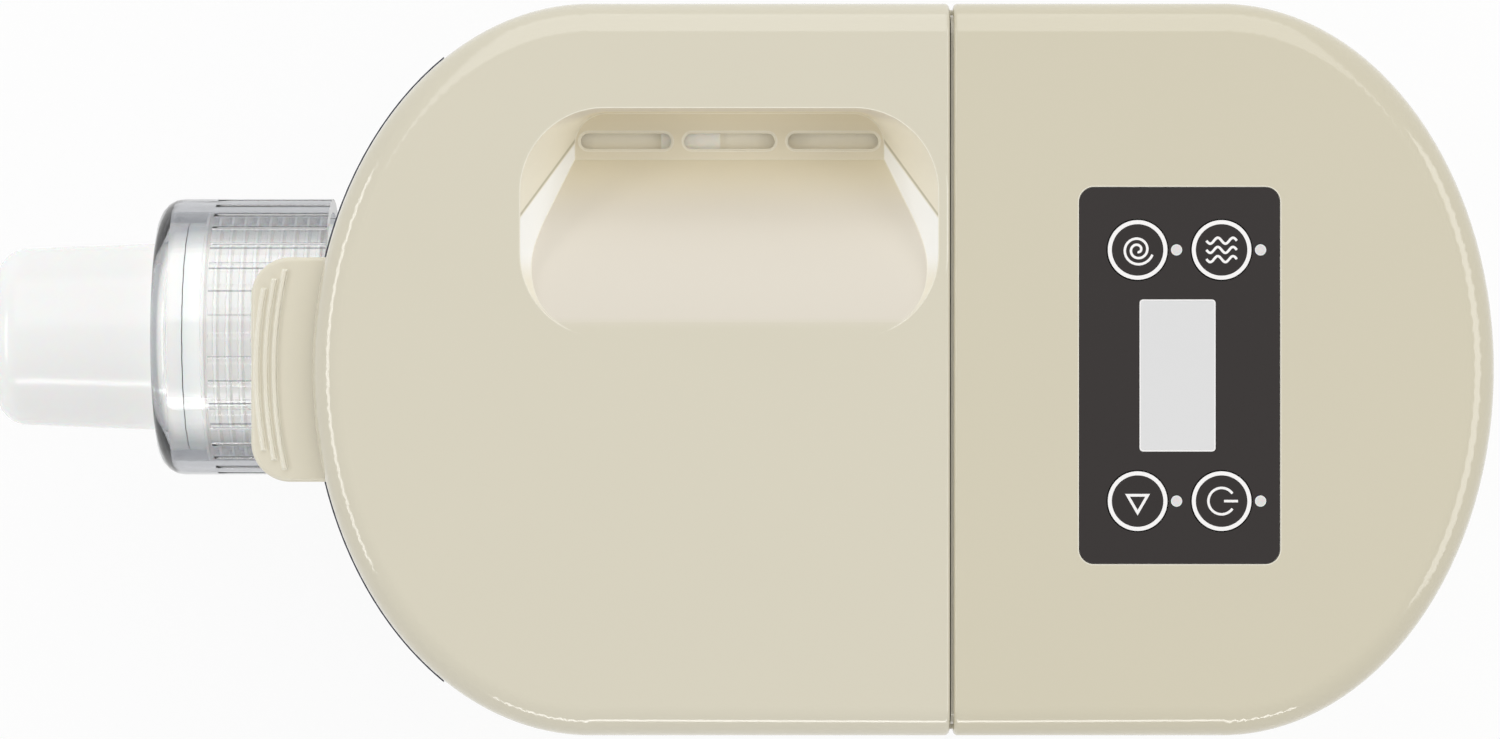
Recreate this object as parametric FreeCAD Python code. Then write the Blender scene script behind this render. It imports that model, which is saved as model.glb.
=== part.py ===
import FreeCAD, Part
import math
import os

# Electric pasta maker, in millimetres.
# +Z is up and -Y is the front, where the dough comes out. The origin is on the table,
# under the middle of the whole length. The body is a capsule seen from above.

V = FreeCAD.Vector
X_AXIS = V(1, 0, 0)
Y_AXIS = V(0, 1, 0)
Z_AXIS = V(0, 0, 1)

# Body outline and heights
body_length = 297.0
body_width = 184.0
front_depth = 70.0
rear_depth = 68.5
snout_reach = 96.0
top_height = 235.0
foot_height = 5.0
wall = 3.0
deck_drop = 34.0
deck_thickness = 3.0
deck_width = 10.0
wall_above_deck = 1.5
bottom_round = 2.4
rear_part_length = 136.5
bulkhead_setback = 0.5
bulkhead_thickness = 3.0

# Lid and rear cover
cap_wall = 2.8
cap_seam = 0.7
cap_round = 8.0
split_gap = 0.9
split_round = 1.2
ledge_drop = 3.0
ledge_gap = 0.3
pillar_radius = 4.0
pillar_inset = 8.5
rest_gap = 0.2

# Water scoop in the lid
scoop_from_side = 26.6
scoop_width = 57.4
scoop_from_split = 3.4
scoop_length = 104.6
scoop_corner = 21.0
scoop_flare = 13.0
scoop_back_flare = 0.3
scoop_low_corner = 8.0
scoop_depth = 22.0
scoop_rise_radius = 50.0
scoop_slope = 38.0
scoop_wall = 2.4
slot_length = 23.0
slot_width = 4.0
slot_pitch = 26.3
slot_from_back = 7.4
slot_count = 3
slot_rim_width = 0.5
slot_rim_depth = 0.3
channel_side_room = 2.0
channel_depth = 1.8
channel_roof = 1.4
channel_wall = 1.6
nozzle_length = 15.0
nozzle_width = 7.0
nozzle_shift = -9.9
nozzle_flange = 1.0
nozzle_drop = 1.0
nozzle_hole_radius = 1.5

# Latch on the lid
latch_width = 57.0
latch_reach = 16.5
latch_thickness = 5.0
latch_above_deck = 10.0
latch_corner = 10.0
latch_pivot_setback = 9.5
latch_barrel_radius = 4.0
latch_pin_radius = 1.5
latch_side_gap = 0.8
latch_lift_room = 2.2
ear_reach = 4.5
rib_height = 0.9
rib_width = 1.2
rib_round = 0.35
rib_root = 0.4
rib_pitch = 2.2
rib_from_tip = 1.5
rib_radius = 115.0
rib_half_span = 20.5
rib_span_step = 2.4
rib_count = 3
hook_width = 16.0
hook_thickness = 2.6
hook_drop = 16.0
barb_depth = 2.0
barb_height = 2.6
ear_thickness = 3.0
ear_inset = 6.0
ear_slack = 0.05
lever_reach = 2.6
lever_round = 1.2
neck_overlap = 0.6

# Front fascia
fascia_gap = 0.25
fascia_thickness = 1.6
fascia_bottom = 14.0
fascia_above_deck = 8.0
fascia_wrap = 32.0
peg_radius = 2.0
peg_inset = 32.0
peg_length = 24.0
peg_from_bottom = 26.0
peg_from_top = 30.0

# Drive axis, bowl and barrel
axis_x = -9.0
axis_z = 100.0
bowl_side_room = 30.0
bowl_wall = 3.0
bowl_front_setback = 37.5
bowl_rear_gap = 3.5
bowl_rim = 3.0
bowl_rim_thickness = 2.2
bowl_rim_corner = 12.0
bowl_rim_rear_trim = 0.5
bowl_corner = 6.0
barrel_fit = 0.2
seal_radius = 12.0
seal_fit = 0.1
seal_lip = 2.0
seal_bead = 1.5
seat_gap = 0.3
barrel_radius = 31.0
barrel_bore = 25.0
barrel_length = 80.0
barrel_flange_radius = 39.0
barrel_flange_thickness = 4.0
thread_height = 2.7
thread_pitch = 3.4
thread_count = 10
thread_start = 5.5
thread_clearance = 0.4
thread_root = 0.5
thread_root_half = 0.85
thread_crest_half = 0.35
barrel_hole_clearance = 0.5

# Clear nut and pasta die
nut_radius = 37.8
nut_front_wall = 4.8
nut_length = 47.0
nut_corner = 6.5
nut_flute_count = 36
nut_flute_radius = 1.6
nut_flute_depth = 0.45
nut_flute_length = 31.0
die_flange_radius = 31.0
die_flange_thickness = 3.4
die_gap = 0.3
snout_base_radius = 25.8
snout_tip_radius = 24.2
snout_round = 8.0
snout_wall = 3.6
disc_boss_radius = 15.5
disc_flange_radius = 18.3
disc_flange_thickness = 1.6
disc_gap = 0.1
noodle_hole_radius = 1.6
noodle_hole_pitch = 6.6
noodle_ring_count = 2
noodles_in_first_ring_count = 6
seal_width = 3.0
seal_height = 1.8
seal_stand = 0.2

# Auger, paddle and shaft
shaft_radius = 5.0
shaft_fit = 0.05
hex_across = 9.0
hex_clearance = 0.2
shaft_hex_reach = 78.0
auger_clearance = 0.5
auger_core_radius = 8.0
auger_pitch = 24.0
auger_flight_thickness = 4.0
auger_tip_setback = 2.0
auger_rear_in_bowl = 41.0
auger_root = 1.5
auger_land_taper = 0.7
paddle_auger_gap = 0.3
paddle_corner = 12.0
paddle_window_corner = 4.8
paddle_hub_radius = 11.0
paddle_tip_gap = 8.0
paddle_bar = 8.0
paddle_end_gap = 2.5

# Gearbox
gear_module_out = 1.25
gear_module_in = 1.0
out_tooth_count = 60
idler_small_tooth_count = 15
idler_big_tooth_count = 60
pinion_tooth_count = 12
gear_backlash = 0.12
out_gear_width = 14.0
idler_gear_width = 8.0
pinion_width = 9.4
pinion_lead = 1.0
gear_plane_gap = 2.0
idler_direction = 50.0
motor_direction = 155.0
gearbox_plate = 4.0
gearbox_wall = 3.0
gearbox_gap = 3.0
idler_pin_radius = 4.0
bush_wall = 3.0
bush_stand = 1.5
bush_gear_gap = 0.6
pin_end_wall = 1.0
out_hub_radius = 11.0
out_hub_stand = 1.2
out_window_radius = 5.5
out_window_reach = 23.0
out_window_count = 6
gearbox_corner = 4.0
gearbox_boss_radius = 6.0
gearbox_boss_inset = 3.0
pressure_angle = 20.0

# Motor
motor_radius = 33.0
motor_can_wall = 2.0
motor_length = 60.0
motor_cap_thickness = 4.0
motor_shaft_radius = 3.0
armature_radius = 21.0
fan_radius = 26.0
fan_width = 9.0
fan_gap = 3.0
fan_hub_radius = 8.0
fan_blade_thickness = 1.6
fan_blade_margin = 1.0
motor_plate = 3.0
magnet_air = 1.5
magnet_front = 8.0
magnet_rear = 12.0
magnet_gap = 14.0
commutator_radius = 9.0
commutator_end = 3.0
winding_slot_radius = 1.6
winding_slot_count = 12
cap_vent_radius = 4.0
cap_vent_reach = 22.0
cap_vent_count = 8
motor_hole_radius = 8.5
motor_screw_reach = 16.0
fan_blade_count = 7

# Control panel
panel_width = 94.0
panel_depth = 50.0
panel_corner = 3.6
panel_side_offset = 1.5
panel_from_split = 31.9
panel_thickness = 1.2
panel_clearance = 0.2
key_radius = 7.5
key_clearance = 0.3
key_across = 31.4
key_along = 10.5
key_travel = 0.6
key_flange = 0.5
key_flange_thickness = 1.6
key_stem_radius = 2.5
lens_radius = 1.4
lens_from_key = 9.75
display_width = 38.0
display_depth = 19.0
display_corner = 0.9
display_shift = -0.5
display_ledge = 1.2
board_thickness = 1.6
board_drop = 12.4
switch_size = 6.0
switch_height = 4.0
plunger_height = 1.8

# Power parts
inlet_width = 31.0
inlet_height = 24.0
inlet_level = 32.0
inlet_depth = 22.0
inlet_wall = 2.5
inlet_pocket = 16.0
inlet_pin_length = 10.0
inlet_recess = 1.3
inlet_corner = 2.0
inlet_cavity_corner = 1.5
inlet_collar = 2.0
inlet_collar_front = 8.0
inlet_collar_rear = 5.6
inlet_pin_root = 4.0
inlet_pin_half_width = 1.0
inlet_pin_half_height = 2.0
inlet_pin_across = 7.0
inlet_pin_low = -2.0
inlet_pin_high = 2.5
power_board_level = 24.0
power_board_width = 84.0
power_board_depth = 54.0
power_board_setback = 76.0
power_post_radius = 3.5
power_post_inset = 5.0
foot_radius = 10.0
foot_inset = 32.0
foot_front_setback = 52.0
foot_rear_setback = 48.0
foot_stem_radius = 3.5
foot_stem_stand = 2.0
foot_round = 1.5
base_clearance = 0.4
wire_radius = 1.1
wire_pitch = 2.6

# Fasteners, the panel's small parts, and how far a cutting shape reaches past what it cuts
past = 1.0
close = 0.01
screw_radius = 2.0
screw_hole_radius = 2.2
screw_head_radius = 3.8
screw_head_height = 1.8
screw_seat = 0.2
base_screw_length = 18.0
base_pilot_depth = 20.0
small_screw_radius = 1.5
small_hole_radius = 1.7
small_head_radius = 3.0
small_head_height = 1.8
small_screw_bite = 10.0
small_pilot_depth = 12.0
panel_screw_radius = 1.2
panel_head_radius = 2.6
panel_head_height = 1.6
panel_screw_bite = 6.0
panel_pilot_depth = 7.0
panel_post_radius = 3.0
panel_recess = 0.1
lens_fit = 0.1
lens_stand = 0.2
lens_recess = 0.05
key_round = 0.4
key_rest_gap = 0.2
plunger_radius = 1.7
module_gap = 0.3
module_drop = 0.2
gearbox_head_radius = 4.2
gearbox_head_height = 2.6
motor_head_radius = 2.8
motor_head_height = 1.6
motor_screw_hole = 1.6
motor_screw_bite = 2.0
shaft_end = 1.0
shaft_step_inset = 2.0
step_clearance = 0.1

# Places worked out from the sizes above
overall_length = body_length + snout_reach
rear_y = overall_length / 2
front_y = rear_y - body_length
tip_y = -overall_length / 2
half_width = body_width / 2
split_y = rear_y - rear_part_length
base_bottom = foot_height
base_top = base_bottom + wall
deck_height = top_height - deck_drop
wall_top = deck_height + wall_above_deck
cap_bottom = wall_top + cap_seam
cap_ceiling = top_height - cap_wall
deck_bottom = deck_height - deck_thickness
bulkhead_rear = split_y - bulkhead_setback
bulkhead_front = bulkhead_rear - bulkhead_thickness
bowl_front = front_y + bowl_front_setback
bowl_rear = bulkhead_front - bowl_rear_gap - bowl_wall
bowl_radius = half_width - bowl_side_room
paddle_half_span = bowl_radius - paddle_tip_gap
scoop_left = scoop_from_side - half_width
scoop_right = scoop_left + scoop_width
scoop_rear = split_y - scoop_from_split
scoop_front = scoop_rear - scoop_length
latch_level = deck_height + latch_above_deck
fascia_top = deck_height + fascia_above_deck
peg_across = half_width - peg_inset
foot_across = half_width - foot_inset
barrel_front = bowl_front - barrel_length
die_face = barrel_front - die_gap
die_front = die_face - die_flange_thickness
nut_front = die_front - die_gap - nut_front_wall
nut_rear = nut_front + nut_length
shaft_line = V(axis_x, 0, axis_z)


def box(x0, x1, y0, y1, z0, z1):
    return Part.makeBox(x1 - x0, y1 - y0, z1 - z0, V(x0, y0, z0))


def rod(radius, y0, y1, at=shaft_line):
    return Part.makeCylinder(radius, y1 - y0, V(at.x, y0, at.z), Y_AXIS)


def post(radius, x, y, z0, z1):
    return Part.makeCylinder(radius, z1 - z0, V(x, y, z0))


def fuse(shapes):
    joined = shapes[0]
    for shape in shapes[1:]:
        joined = joined.fuse(shape)
    return joined.removeSplitter()


def cut(shape, tools):
    for tool in tools:
        shape = shape.cut(tool)
    return shape


def group(shapes):
    return Part.makeCompound(shapes)


def capsule(inset, z0, z1):
    # The body outline, with both ends half ellipses, drawn inset and extruded.
    width = half_width - inset
    front_centre = V(0, front_y + front_depth, z0)
    rear_centre = V(0, rear_y - rear_depth, z0)
    front = Part.Ellipse(front_centre, width, front_depth - inset)
    rear = Part.Ellipse(rear_centre, width, rear_depth - inset)
    front_edge = Part.Arc(front, math.pi, 2 * math.pi).toShape()
    rear_edge = Part.Arc(rear, 0, math.pi).toShape()
    across = X_AXIS * width
    right_edge = Part.makeLine(front_centre + across, rear_centre + across)
    left_edge = Part.makeLine(rear_centre - across, front_centre - across)
    outline = Part.Wire([front_edge, right_edge, rear_edge, left_edge])
    return Part.Face(outline).extrude(V(0, 0, z1 - z0))


def rounded_wire(x0, x1, y0, y1, z, radius):
    # A rectangle with round corners, drawn as four lines and four arcs.
    corners = [(x1, y0, -90), (x1, y1, 0), (x0, y1, 90), (x0, y0, 180)]
    arcs = []
    for x, y, start in corners:
        centre_x = x - radius if x == x1 else x + radius
        centre_y = y - radius if y == y1 else y + radius
        centre = V(centre_x, centre_y, z)
        arcs.append(Part.makeCircle(radius, centre, Z_AXIS, start, start + 90))
    edges = []
    for index, arc in enumerate(arcs):
        following = arcs[(index + 1) % len(arcs)]
        edges.append(arc)
        edges.append(Part.makeLine(arc.Vertexes[1].Point, following.Vertexes[0].Point))
    return Part.Wire(edges)


def rounded_box(x0, x1, y0, y1, z0, z1, radius):
    face = Part.Face(rounded_wire(x0, x1, y0, y1, z0, radius))
    return face.extrude(V(0, 0, z1 - z0))


def edges_where(shape, test):
    return [edge for edge in shape.Edges if test(edge.BoundBox)]


def turned(points, at=shaft_line):
    # A ring turned about the line along Y through a point; each point is (radius, y).
    vertices = [V(at.x + radius, y, at.z) for radius, y in points]
    face = Part.Face(Part.makePolygon(vertices + [vertices[0]]))
    return face.revolve(at, Y_AXIS, 360)


def screw(x, y, z, direction, head_radius, head_height, shank_radius, length):
    # A pan head screw whose head seats at the given point and whose shank runs on.
    seat = V(x, y, z)
    head = Part.makeCylinder(head_radius, head_height, seat - direction * head_height, direction)
    shank = Part.makeCylinder(shank_radius, length, seat, direction)
    return head.fuse(shank)


def involute_gear(teeth, module, y0, y1, centre, tooth_angle):
    # A spur gear on an axis along Y, with one tooth pointing at tooth_angle degrees
    # from +X towards +Z. The flanks follow the involute of a 20 degree gear.
    pitch_radius = module * teeth / 2
    pressure_turn = math.radians(pressure_angle)
    base_radius = pitch_radius * math.cos(pressure_turn)
    root_radius = pitch_radius - 1.25 * module
    tip_radius = pitch_radius + module
    start_radius = max(base_radius, root_radius)
    involute_at_pitch = math.tan(pressure_turn) - pressure_turn
    half_tooth = math.pi / (2 * teeth) - gear_backlash / (2 * pitch_radius)
    flank = []
    flank_count = 5
    for index in range(flank_count):
        radius = start_radius + (tip_radius - start_radius) * index / (flank_count - 1)
        pressure = math.acos(min(1.0, base_radius / radius))
        offset = half_tooth + involute_at_pitch - (math.tan(pressure) - pressure)
        flank.append((radius, offset))
    root_offset = flank[0][1]
    side = [(root_radius, root_offset)] + flank if root_radius < start_radius else flank
    points = []
    for tooth in range(teeth):
        middle = math.radians(tooth_angle) + 2 * math.pi * tooth / teeth
        for radius, offset in side:
            points.append((radius, middle - offset))
        for radius, offset in reversed(side):
            points.append((radius, middle + offset))
    vertices = []
    for radius, angle in points:
        x = centre.x + radius * math.cos(angle)
        z = centre.z + radius * math.sin(angle)
        vertices.append(V(x, y0, z))
    face = Part.Face(Part.makePolygon(vertices + [vertices[0]]))
    return face.extrude(V(0, y1 - y0, 0))


def wire_run(points, radius, bend):
    # An insulated wire: straight runs joined by tangent arcs.
    edges = []
    here = points[0]
    for index in range(1, len(points) - 1):
        corner = points[index]
        towards = (points[index - 1] - corner).normalize()
        onwards = (points[index + 1] - corner).normalize()
        half_turn = (math.pi - towards.getAngle(onwards)) / 2
        leg = bend * math.tan(half_turn)
        start = corner + towards * leg
        end = corner + onwards * leg
        inward = (towards + onwards).normalize()
        middle = corner + inward * (bend / math.cos(half_turn) - bend)
        edges.append(Part.makeLine(here, start))
        edges.append(Part.Arc(start, middle, end).toShape())
        here = end
    edges.append(Part.makeLine(here, points[-1]))
    path = Part.Wire(edges)
    direction = points[1] - points[0]
    profile = Part.Wire([Part.makeCircle(radius, points[0], direction)])
    return path.makePipeShell([profile], True, False)


parts = {}

# Main body: the moulded side wall, the deck that the bowl hangs from, and the
# bulkhead between the bowl and the motor.
boss_sides = (-1, 1)
boss_inset = 8.0
boss_radius = 6.0
boss_height = 32.0
boss_setback = 75.0
boss_rows = (front_y + boss_setback, rear_y - boss_setback)
shell = capsule(0, base_bottom, wall_top)
bottom_edges = edges_where(shell, lambda b: b.ZMax < base_bottom + close)
shell = shell.makeFillet(bottom_round, bottom_edges)
shell = shell.cut(capsule(wall, base_bottom - past, deck_bottom))
shell = shell.cut(capsule(wall, deck_height, top_height))
bulkhead = box(-body_width, body_width, bulkhead_front, bulkhead_rear,
               base_top + seat_gap, deck_height)
bulkhead = bulkhead.common(capsule(wall / 2, base_bottom, deck_height))
boss_ring = rod(barrel_flange_radius, front_y, bowl_front - bowl_wall - barrel_flange_thickness)
boss_ring = boss_ring.common(capsule(wall / 2, 0, top_height))
base_bosses = []
for side in boss_sides:
    for row in boss_rows:
        base_bosses.append(post(boss_radius, side * (half_width - boss_inset), row,
                                base_top, base_top + boss_height))
base_bosses = [boss.common(capsule(wall / 2, 0, top_height)) for boss in base_bosses]
main_body = fuse([shell, bulkhead, boss_ring] + base_bosses)
bowl_left = axis_x - bowl_radius - bowl_wall
bowl_right = axis_x + bowl_radius + bowl_wall
bowl_opening = box(bowl_left - seat_gap, bowl_right + seat_gap,
                   bowl_front - bowl_wall - seat_gap, bowl_rear + bowl_wall + seat_gap,
                   deck_bottom - past, top_height)
rear_opening = capsule(wall + deck_width, deck_bottom - past, top_height)
rear_opening = rear_opening.common(box(-body_width, body_width, bulkhead_rear + deck_width, rear_y,
                                       0, top_height))
latch_pivot_y = front_y + latch_pivot_setback
hook_slot_margin = 1.0
hook_slot_front = 4.0
hook_slot = box(-hook_width / 2 - hook_slot_margin, hook_width / 2 + hook_slot_margin,
                latch_pivot_y - hook_thickness / 2 - hook_slot_front,
                latch_pivot_y + hook_thickness / 2 + barb_depth + seat_gap,
                deck_bottom - past, top_height)
barrel_hole_radius = barrel_radius + thread_height + barrel_hole_clearance
barrel_hole = rod(barrel_hole_radius, tip_y, bowl_front)
shaft_hole_radius = 14.0
shaft_hole = rod(shaft_hole_radius, bulkhead_front - past, bulkhead_rear + past)
main_body = cut(main_body, [bowl_opening, rear_opening, hook_slot, barrel_hole, shaft_hole])
peg_levels = (fascia_bottom + peg_from_bottom, fascia_top - peg_from_top)
for side in boss_sides:
    for level in peg_levels:
        peg_hole = rod(peg_radius + seat_gap, front_y, front_y + fascia_wrap,
                       V(side * peg_across, 0, level))
        main_body = main_body.cut(peg_hole)

# Air slots for the motor, through the rear wall on both sides of the inlet
vent_count = 7
vent_pitch = 6.0
vent_width = 2.6
vent_height = 34.0
vent_first = 26.0
vent_low = 64.0
vent_depth = 36.0
for side in boss_sides:
    for index in range(vent_count):
        vent_x = side * (vent_first + index * vent_pitch)
        vent_tool = box(vent_x - vent_width / 2, vent_x + vent_width / 2,
                        rear_y - vent_depth, rear_y + past, vent_low, vent_low + vent_height)
        main_body = main_body.cut(vent_tool)
inlet_hole = box(-inlet_width / 2 - base_clearance, inlet_width / 2 + base_clearance,
                 rear_y - inlet_collar_front, rear_y + past,
                 inlet_level - inlet_height / 2 - base_clearance,
                 inlet_level + inlet_height / 2 + base_clearance)
main_body = main_body.cut(inlet_hole)

# Base plate, screwed up into the body's bosses, and four rubber feet pressed in it
base_plate = capsule(wall + base_clearance, base_bottom, base_top)
base_screws = []
for side in boss_sides:
    for row in boss_rows:
        screw_x = side * (half_width - boss_inset)
        head_pocket = post(screw_head_radius + base_clearance, screw_x, row,
                           base_bottom - past, base_bottom + screw_head_height + screw_seat)
        pilot = post(screw_radius, screw_x, row, base_bottom, base_top + base_pilot_depth)
        screw_hole = post(screw_hole_radius, screw_x, row, 0, top_height)
        base_plate = cut(base_plate, [head_pocket, screw_hole])
        main_body = main_body.cut(pilot)
        base_screws.append(screw(screw_x, row, base_bottom + screw_head_height + screw_seat, Z_AXIS,
                                 screw_head_radius, screw_head_height, screw_radius, base_screw_length))
parts["base_screws"] = group(base_screws)
foot_rows = (front_y + foot_front_setback, rear_y - foot_rear_setback)
feet = []
for side in boss_sides:
    for row in foot_rows:
        pad = post(foot_radius, side * foot_across, row, 0, foot_height)
        rim = edges_where(pad, lambda b: b.ZMax < close)
        pad = pad.makeFillet(foot_round, rim)
        stem = post(foot_stem_radius, side * foot_across, row, foot_height, base_top + foot_stem_stand)
        feet.append(pad.fuse(stem))
        base_plate = base_plate.cut(post(foot_stem_radius, side * foot_across, row, 0, top_height))
parts["rubber_feet"] = group(feet)

# Power board on four posts of the base plate
power_centre_y = bulkhead_rear + power_board_setback
power_screws = []
for side in boss_sides:
    for end in boss_sides:
        post_x = side * (power_board_width / 2 - power_post_inset)
        post_y = power_centre_y + end * (power_board_depth / 2 - power_post_inset)
        standoff = post(power_post_radius, post_x, post_y, base_bottom, power_board_level)
        base_plate = base_plate.fuse(standoff)
        base_plate = base_plate.cut(post(small_screw_radius, post_x, post_y, base_top, power_board_level))
        power_screws.append(screw(post_x, post_y, power_board_level + board_thickness, -Z_AXIS,
                                  small_head_radius, small_head_height, small_screw_radius, small_screw_bite))
parts["base_plate"] = base_plate.removeSplitter()
power_board = box(-power_board_width / 2, power_board_width / 2,
                  power_centre_y - power_board_depth / 2, power_centre_y + power_board_depth / 2,
                  power_board_level, power_board_level + board_thickness)
for fastener in power_screws:
    power_board = power_board.cut(fastener)
parts["power_board"] = power_board
board_top = power_board_level + board_thickness
transformer_x = -20.0
transformer_half = 14.0
transformer_height = 24.0
transformer_corner = 2.0
capacitor_x = 12.0
capacitor_y = power_centre_y + 6.0
capacitor_radius = 9.0
capacitor_height = 26.0
heat_sink_x = 26.0
heat_sink_thickness = 4.0
heat_sink_half = 20.0
heat_sink_height = 22.0
relay_x = 4.0
relay_y = power_centre_y - 20.0
relay_width = 16.0
relay_depth = 12.0
relay_height = 14.0
transformer = rounded_box(transformer_x - transformer_half, transformer_x + transformer_half,
                          power_centre_y - transformer_half, power_centre_y + transformer_half,
                          board_top, board_top + transformer_height, transformer_corner)
capacitor = post(capacitor_radius, capacitor_x, capacitor_y, board_top, board_top + capacitor_height)
heat_sink = box(heat_sink_x, heat_sink_x + heat_sink_thickness, power_centre_y - heat_sink_half,
                power_centre_y + heat_sink_half, board_top, board_top + heat_sink_height)
relay = box(relay_x, relay_x + relay_width, relay_y, relay_y + relay_depth,
            board_top, board_top + relay_height)
parts["power_components"] = group([transformer, capacitor, heat_sink, relay])

# Power inlet: a three pin socket set in the rear wall
inlet_face = rear_y - inlet_recess
inlet_body = rounded_box(-inlet_width / 2, inlet_width / 2, -inlet_height / 2, inlet_height / 2,
                         0, inlet_depth, inlet_corner)
inlet_cavity = rounded_box(-inlet_width / 2 + inlet_wall, inlet_width / 2 - inlet_wall,
                           -inlet_height / 2 + inlet_wall, inlet_height / 2 - inlet_wall,
                           inlet_depth - inlet_pocket, inlet_depth + past, inlet_cavity_corner)
inlet_body = inlet_body.cut(inlet_cavity)
collar = rounded_box(-inlet_width / 2 - inlet_collar, inlet_width / 2 + inlet_collar,
                     -inlet_height / 2 - inlet_collar, inlet_height / 2 + inlet_collar,
                     inlet_depth - inlet_collar_front, inlet_depth - inlet_collar_rear, inlet_corner)
inlet_body = inlet_body.fuse(collar.cut(inlet_cavity))
inlet_pins = []
inlet_pin_places = ((-inlet_pin_across, inlet_pin_low), (0, inlet_pin_high),
                    (inlet_pin_across, inlet_pin_low))
inlet_pin_seat = inlet_depth - inlet_pocket
for pin_x, pin_z in inlet_pin_places:
    pin = box(pin_x - inlet_pin_half_width, pin_x + inlet_pin_half_width,
              pin_z - inlet_pin_half_height, pin_z + inlet_pin_half_height,
              inlet_pin_seat - inlet_pin_root, inlet_pin_seat + inlet_pin_length)
    inlet_body = inlet_body.cut(pin)
    inlet_pins.append(pin)
for shape in [inlet_body] + inlet_pins:
    shape.rotate(V(0, 0, 0), X_AXIS, -90)
    shape.translate(V(0, inlet_face - inlet_depth, inlet_level))
parts["power_inlet"] = inlet_body
parts["inlet_pins"] = group(inlet_pins)
inlet_back = inlet_face - inlet_depth

# Mixing bowl: a trough with a round bottom, hung by its rim on the deck


def trough(radius, y0, y1, z1):
    return fuse([rod(radius, y0, y1), box(axis_x - radius, axis_x + radius, y0, y1, axis_z, z1)])


bowl_top = deck_height + bowl_rim_thickness
bowl = trough(bowl_radius + bowl_wall, bowl_front - bowl_wall, bowl_rear + bowl_wall, bowl_top)
rim = rounded_box(bowl_left - bowl_rim, bowl_right + bowl_rim,
                  bowl_front - bowl_wall - bowl_rim, bowl_rear + bowl_wall + bowl_rim - bowl_rim_rear_trim,
                  deck_height, bowl_top, bowl_rim_corner)
bowl = bowl.fuse(rim).removeSplitter()
bowl_cavity = trough(bowl_radius, bowl_front, bowl_rear, top_height)
upright_edges = edges_where(bowl_cavity, lambda b: b.ZMin > axis_z - close and b.ZMax > top_height - close
                            and b.ZLength > bowl_corner)
bowl_cavity = bowl_cavity.makeFillet(bowl_corner, upright_edges)
bowl = bowl.cut(bowl_cavity)
bowl = bowl.cut(rod(barrel_radius + barrel_fit, bowl_front - bowl_wall - past, bowl_front + past))
bowl = bowl.cut(rod(seal_radius + seal_fit, bowl_rear - past, bowl_rear + bowl_wall + past))
parts["mixing_bowl"] = bowl
seal_bore = shaft_radius + shaft_fit
bowl_back = bowl_rear + bowl_wall
parts["shaft_seal"] = turned([(seal_bore, bowl_rear - seal_bead), (seal_radius, bowl_rear - seal_bead),
                              (seal_radius, bowl_back), (seal_radius + seal_lip, bowl_back),
                              (seal_radius + seal_lip, bowl_back + seal_bead),
                              (seal_bore, bowl_back + seal_bead)])

# Extrusion barrel: a white tube from the bowl through the front wall, with the
# thread that the clear nut screws on
flange_rear = bowl_front - bowl_wall
barrel = turned([(barrel_bore, bowl_front), (barrel_radius, bowl_front), (barrel_radius, flange_rear),
                 (barrel_flange_radius, flange_rear),
                 (barrel_flange_radius, flange_rear - barrel_flange_thickness),
                 (barrel_radius, flange_rear - barrel_flange_thickness),
                 (barrel_radius, barrel_front), (barrel_bore, barrel_front)])
ridges = []
for index in range(thread_count):
    ridge_y = barrel_front + thread_start + index * thread_pitch
    ridges.append(turned([(barrel_radius - thread_root, ridge_y - thread_root_half),
                          (barrel_radius, ridge_y - thread_root_half),
                          (barrel_radius + thread_height, ridge_y - thread_crest_half),
                          (barrel_radius + thread_height, ridge_y + thread_crest_half),
                          (barrel_radius, ridge_y + thread_root_half),
                          (barrel_radius - thread_root, ridge_y + thread_root_half)]))
barrel = fuse([barrel] + ridges)
seal_inner = (barrel_bore + barrel_radius - seal_width) / 2
seal_outer = seal_inner + seal_width
seal_groove = turned([(seal_inner, barrel_front - past), (seal_outer, barrel_front - past),
                      (seal_outer, barrel_front + seal_height - seal_stand),
                      (seal_inner, barrel_front + seal_height - seal_stand)])
parts["extrusion_barrel"] = barrel.cut(seal_groove)
seal_face = barrel_front - seal_stand
parts["barrel_seal"] = turned([(seal_inner, seal_face), (seal_outer, seal_face),
                               (seal_outer, seal_face + seal_height), (seal_inner, seal_face + seal_height)])

# Pasta die: a flange held by the nut, and a long snout that is open at its end
snout_step_count = 8
snout_outline = [(snout_base_radius, die_front), (snout_tip_radius, tip_y + snout_round)]
for step in range(1, snout_step_count + 1):
    angle = math.pi / 2 * step / snout_step_count
    snout_outline.append((snout_tip_radius - snout_round * (1 - math.cos(angle)),
                          tip_y + snout_round * (1 - math.sin(angle))))
cavity_radius = snout_tip_radius - snout_wall
cavity_front = tip_y + snout_wall
die = turned([(0, die_face), (die_flange_radius, die_face), (die_flange_radius, die_front)]
             + snout_outline + [(0, tip_y)])
disc_step = cavity_front - disc_flange_thickness
parts["pasta_die"] = cut(die, [rod(cavity_radius, cavity_front, die_face + past),
                               rod(disc_flange_radius + disc_gap, disc_step, cavity_front + past),
                               rod(disc_boss_radius + disc_gap, tip_y - past, disc_step + past)])

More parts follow.
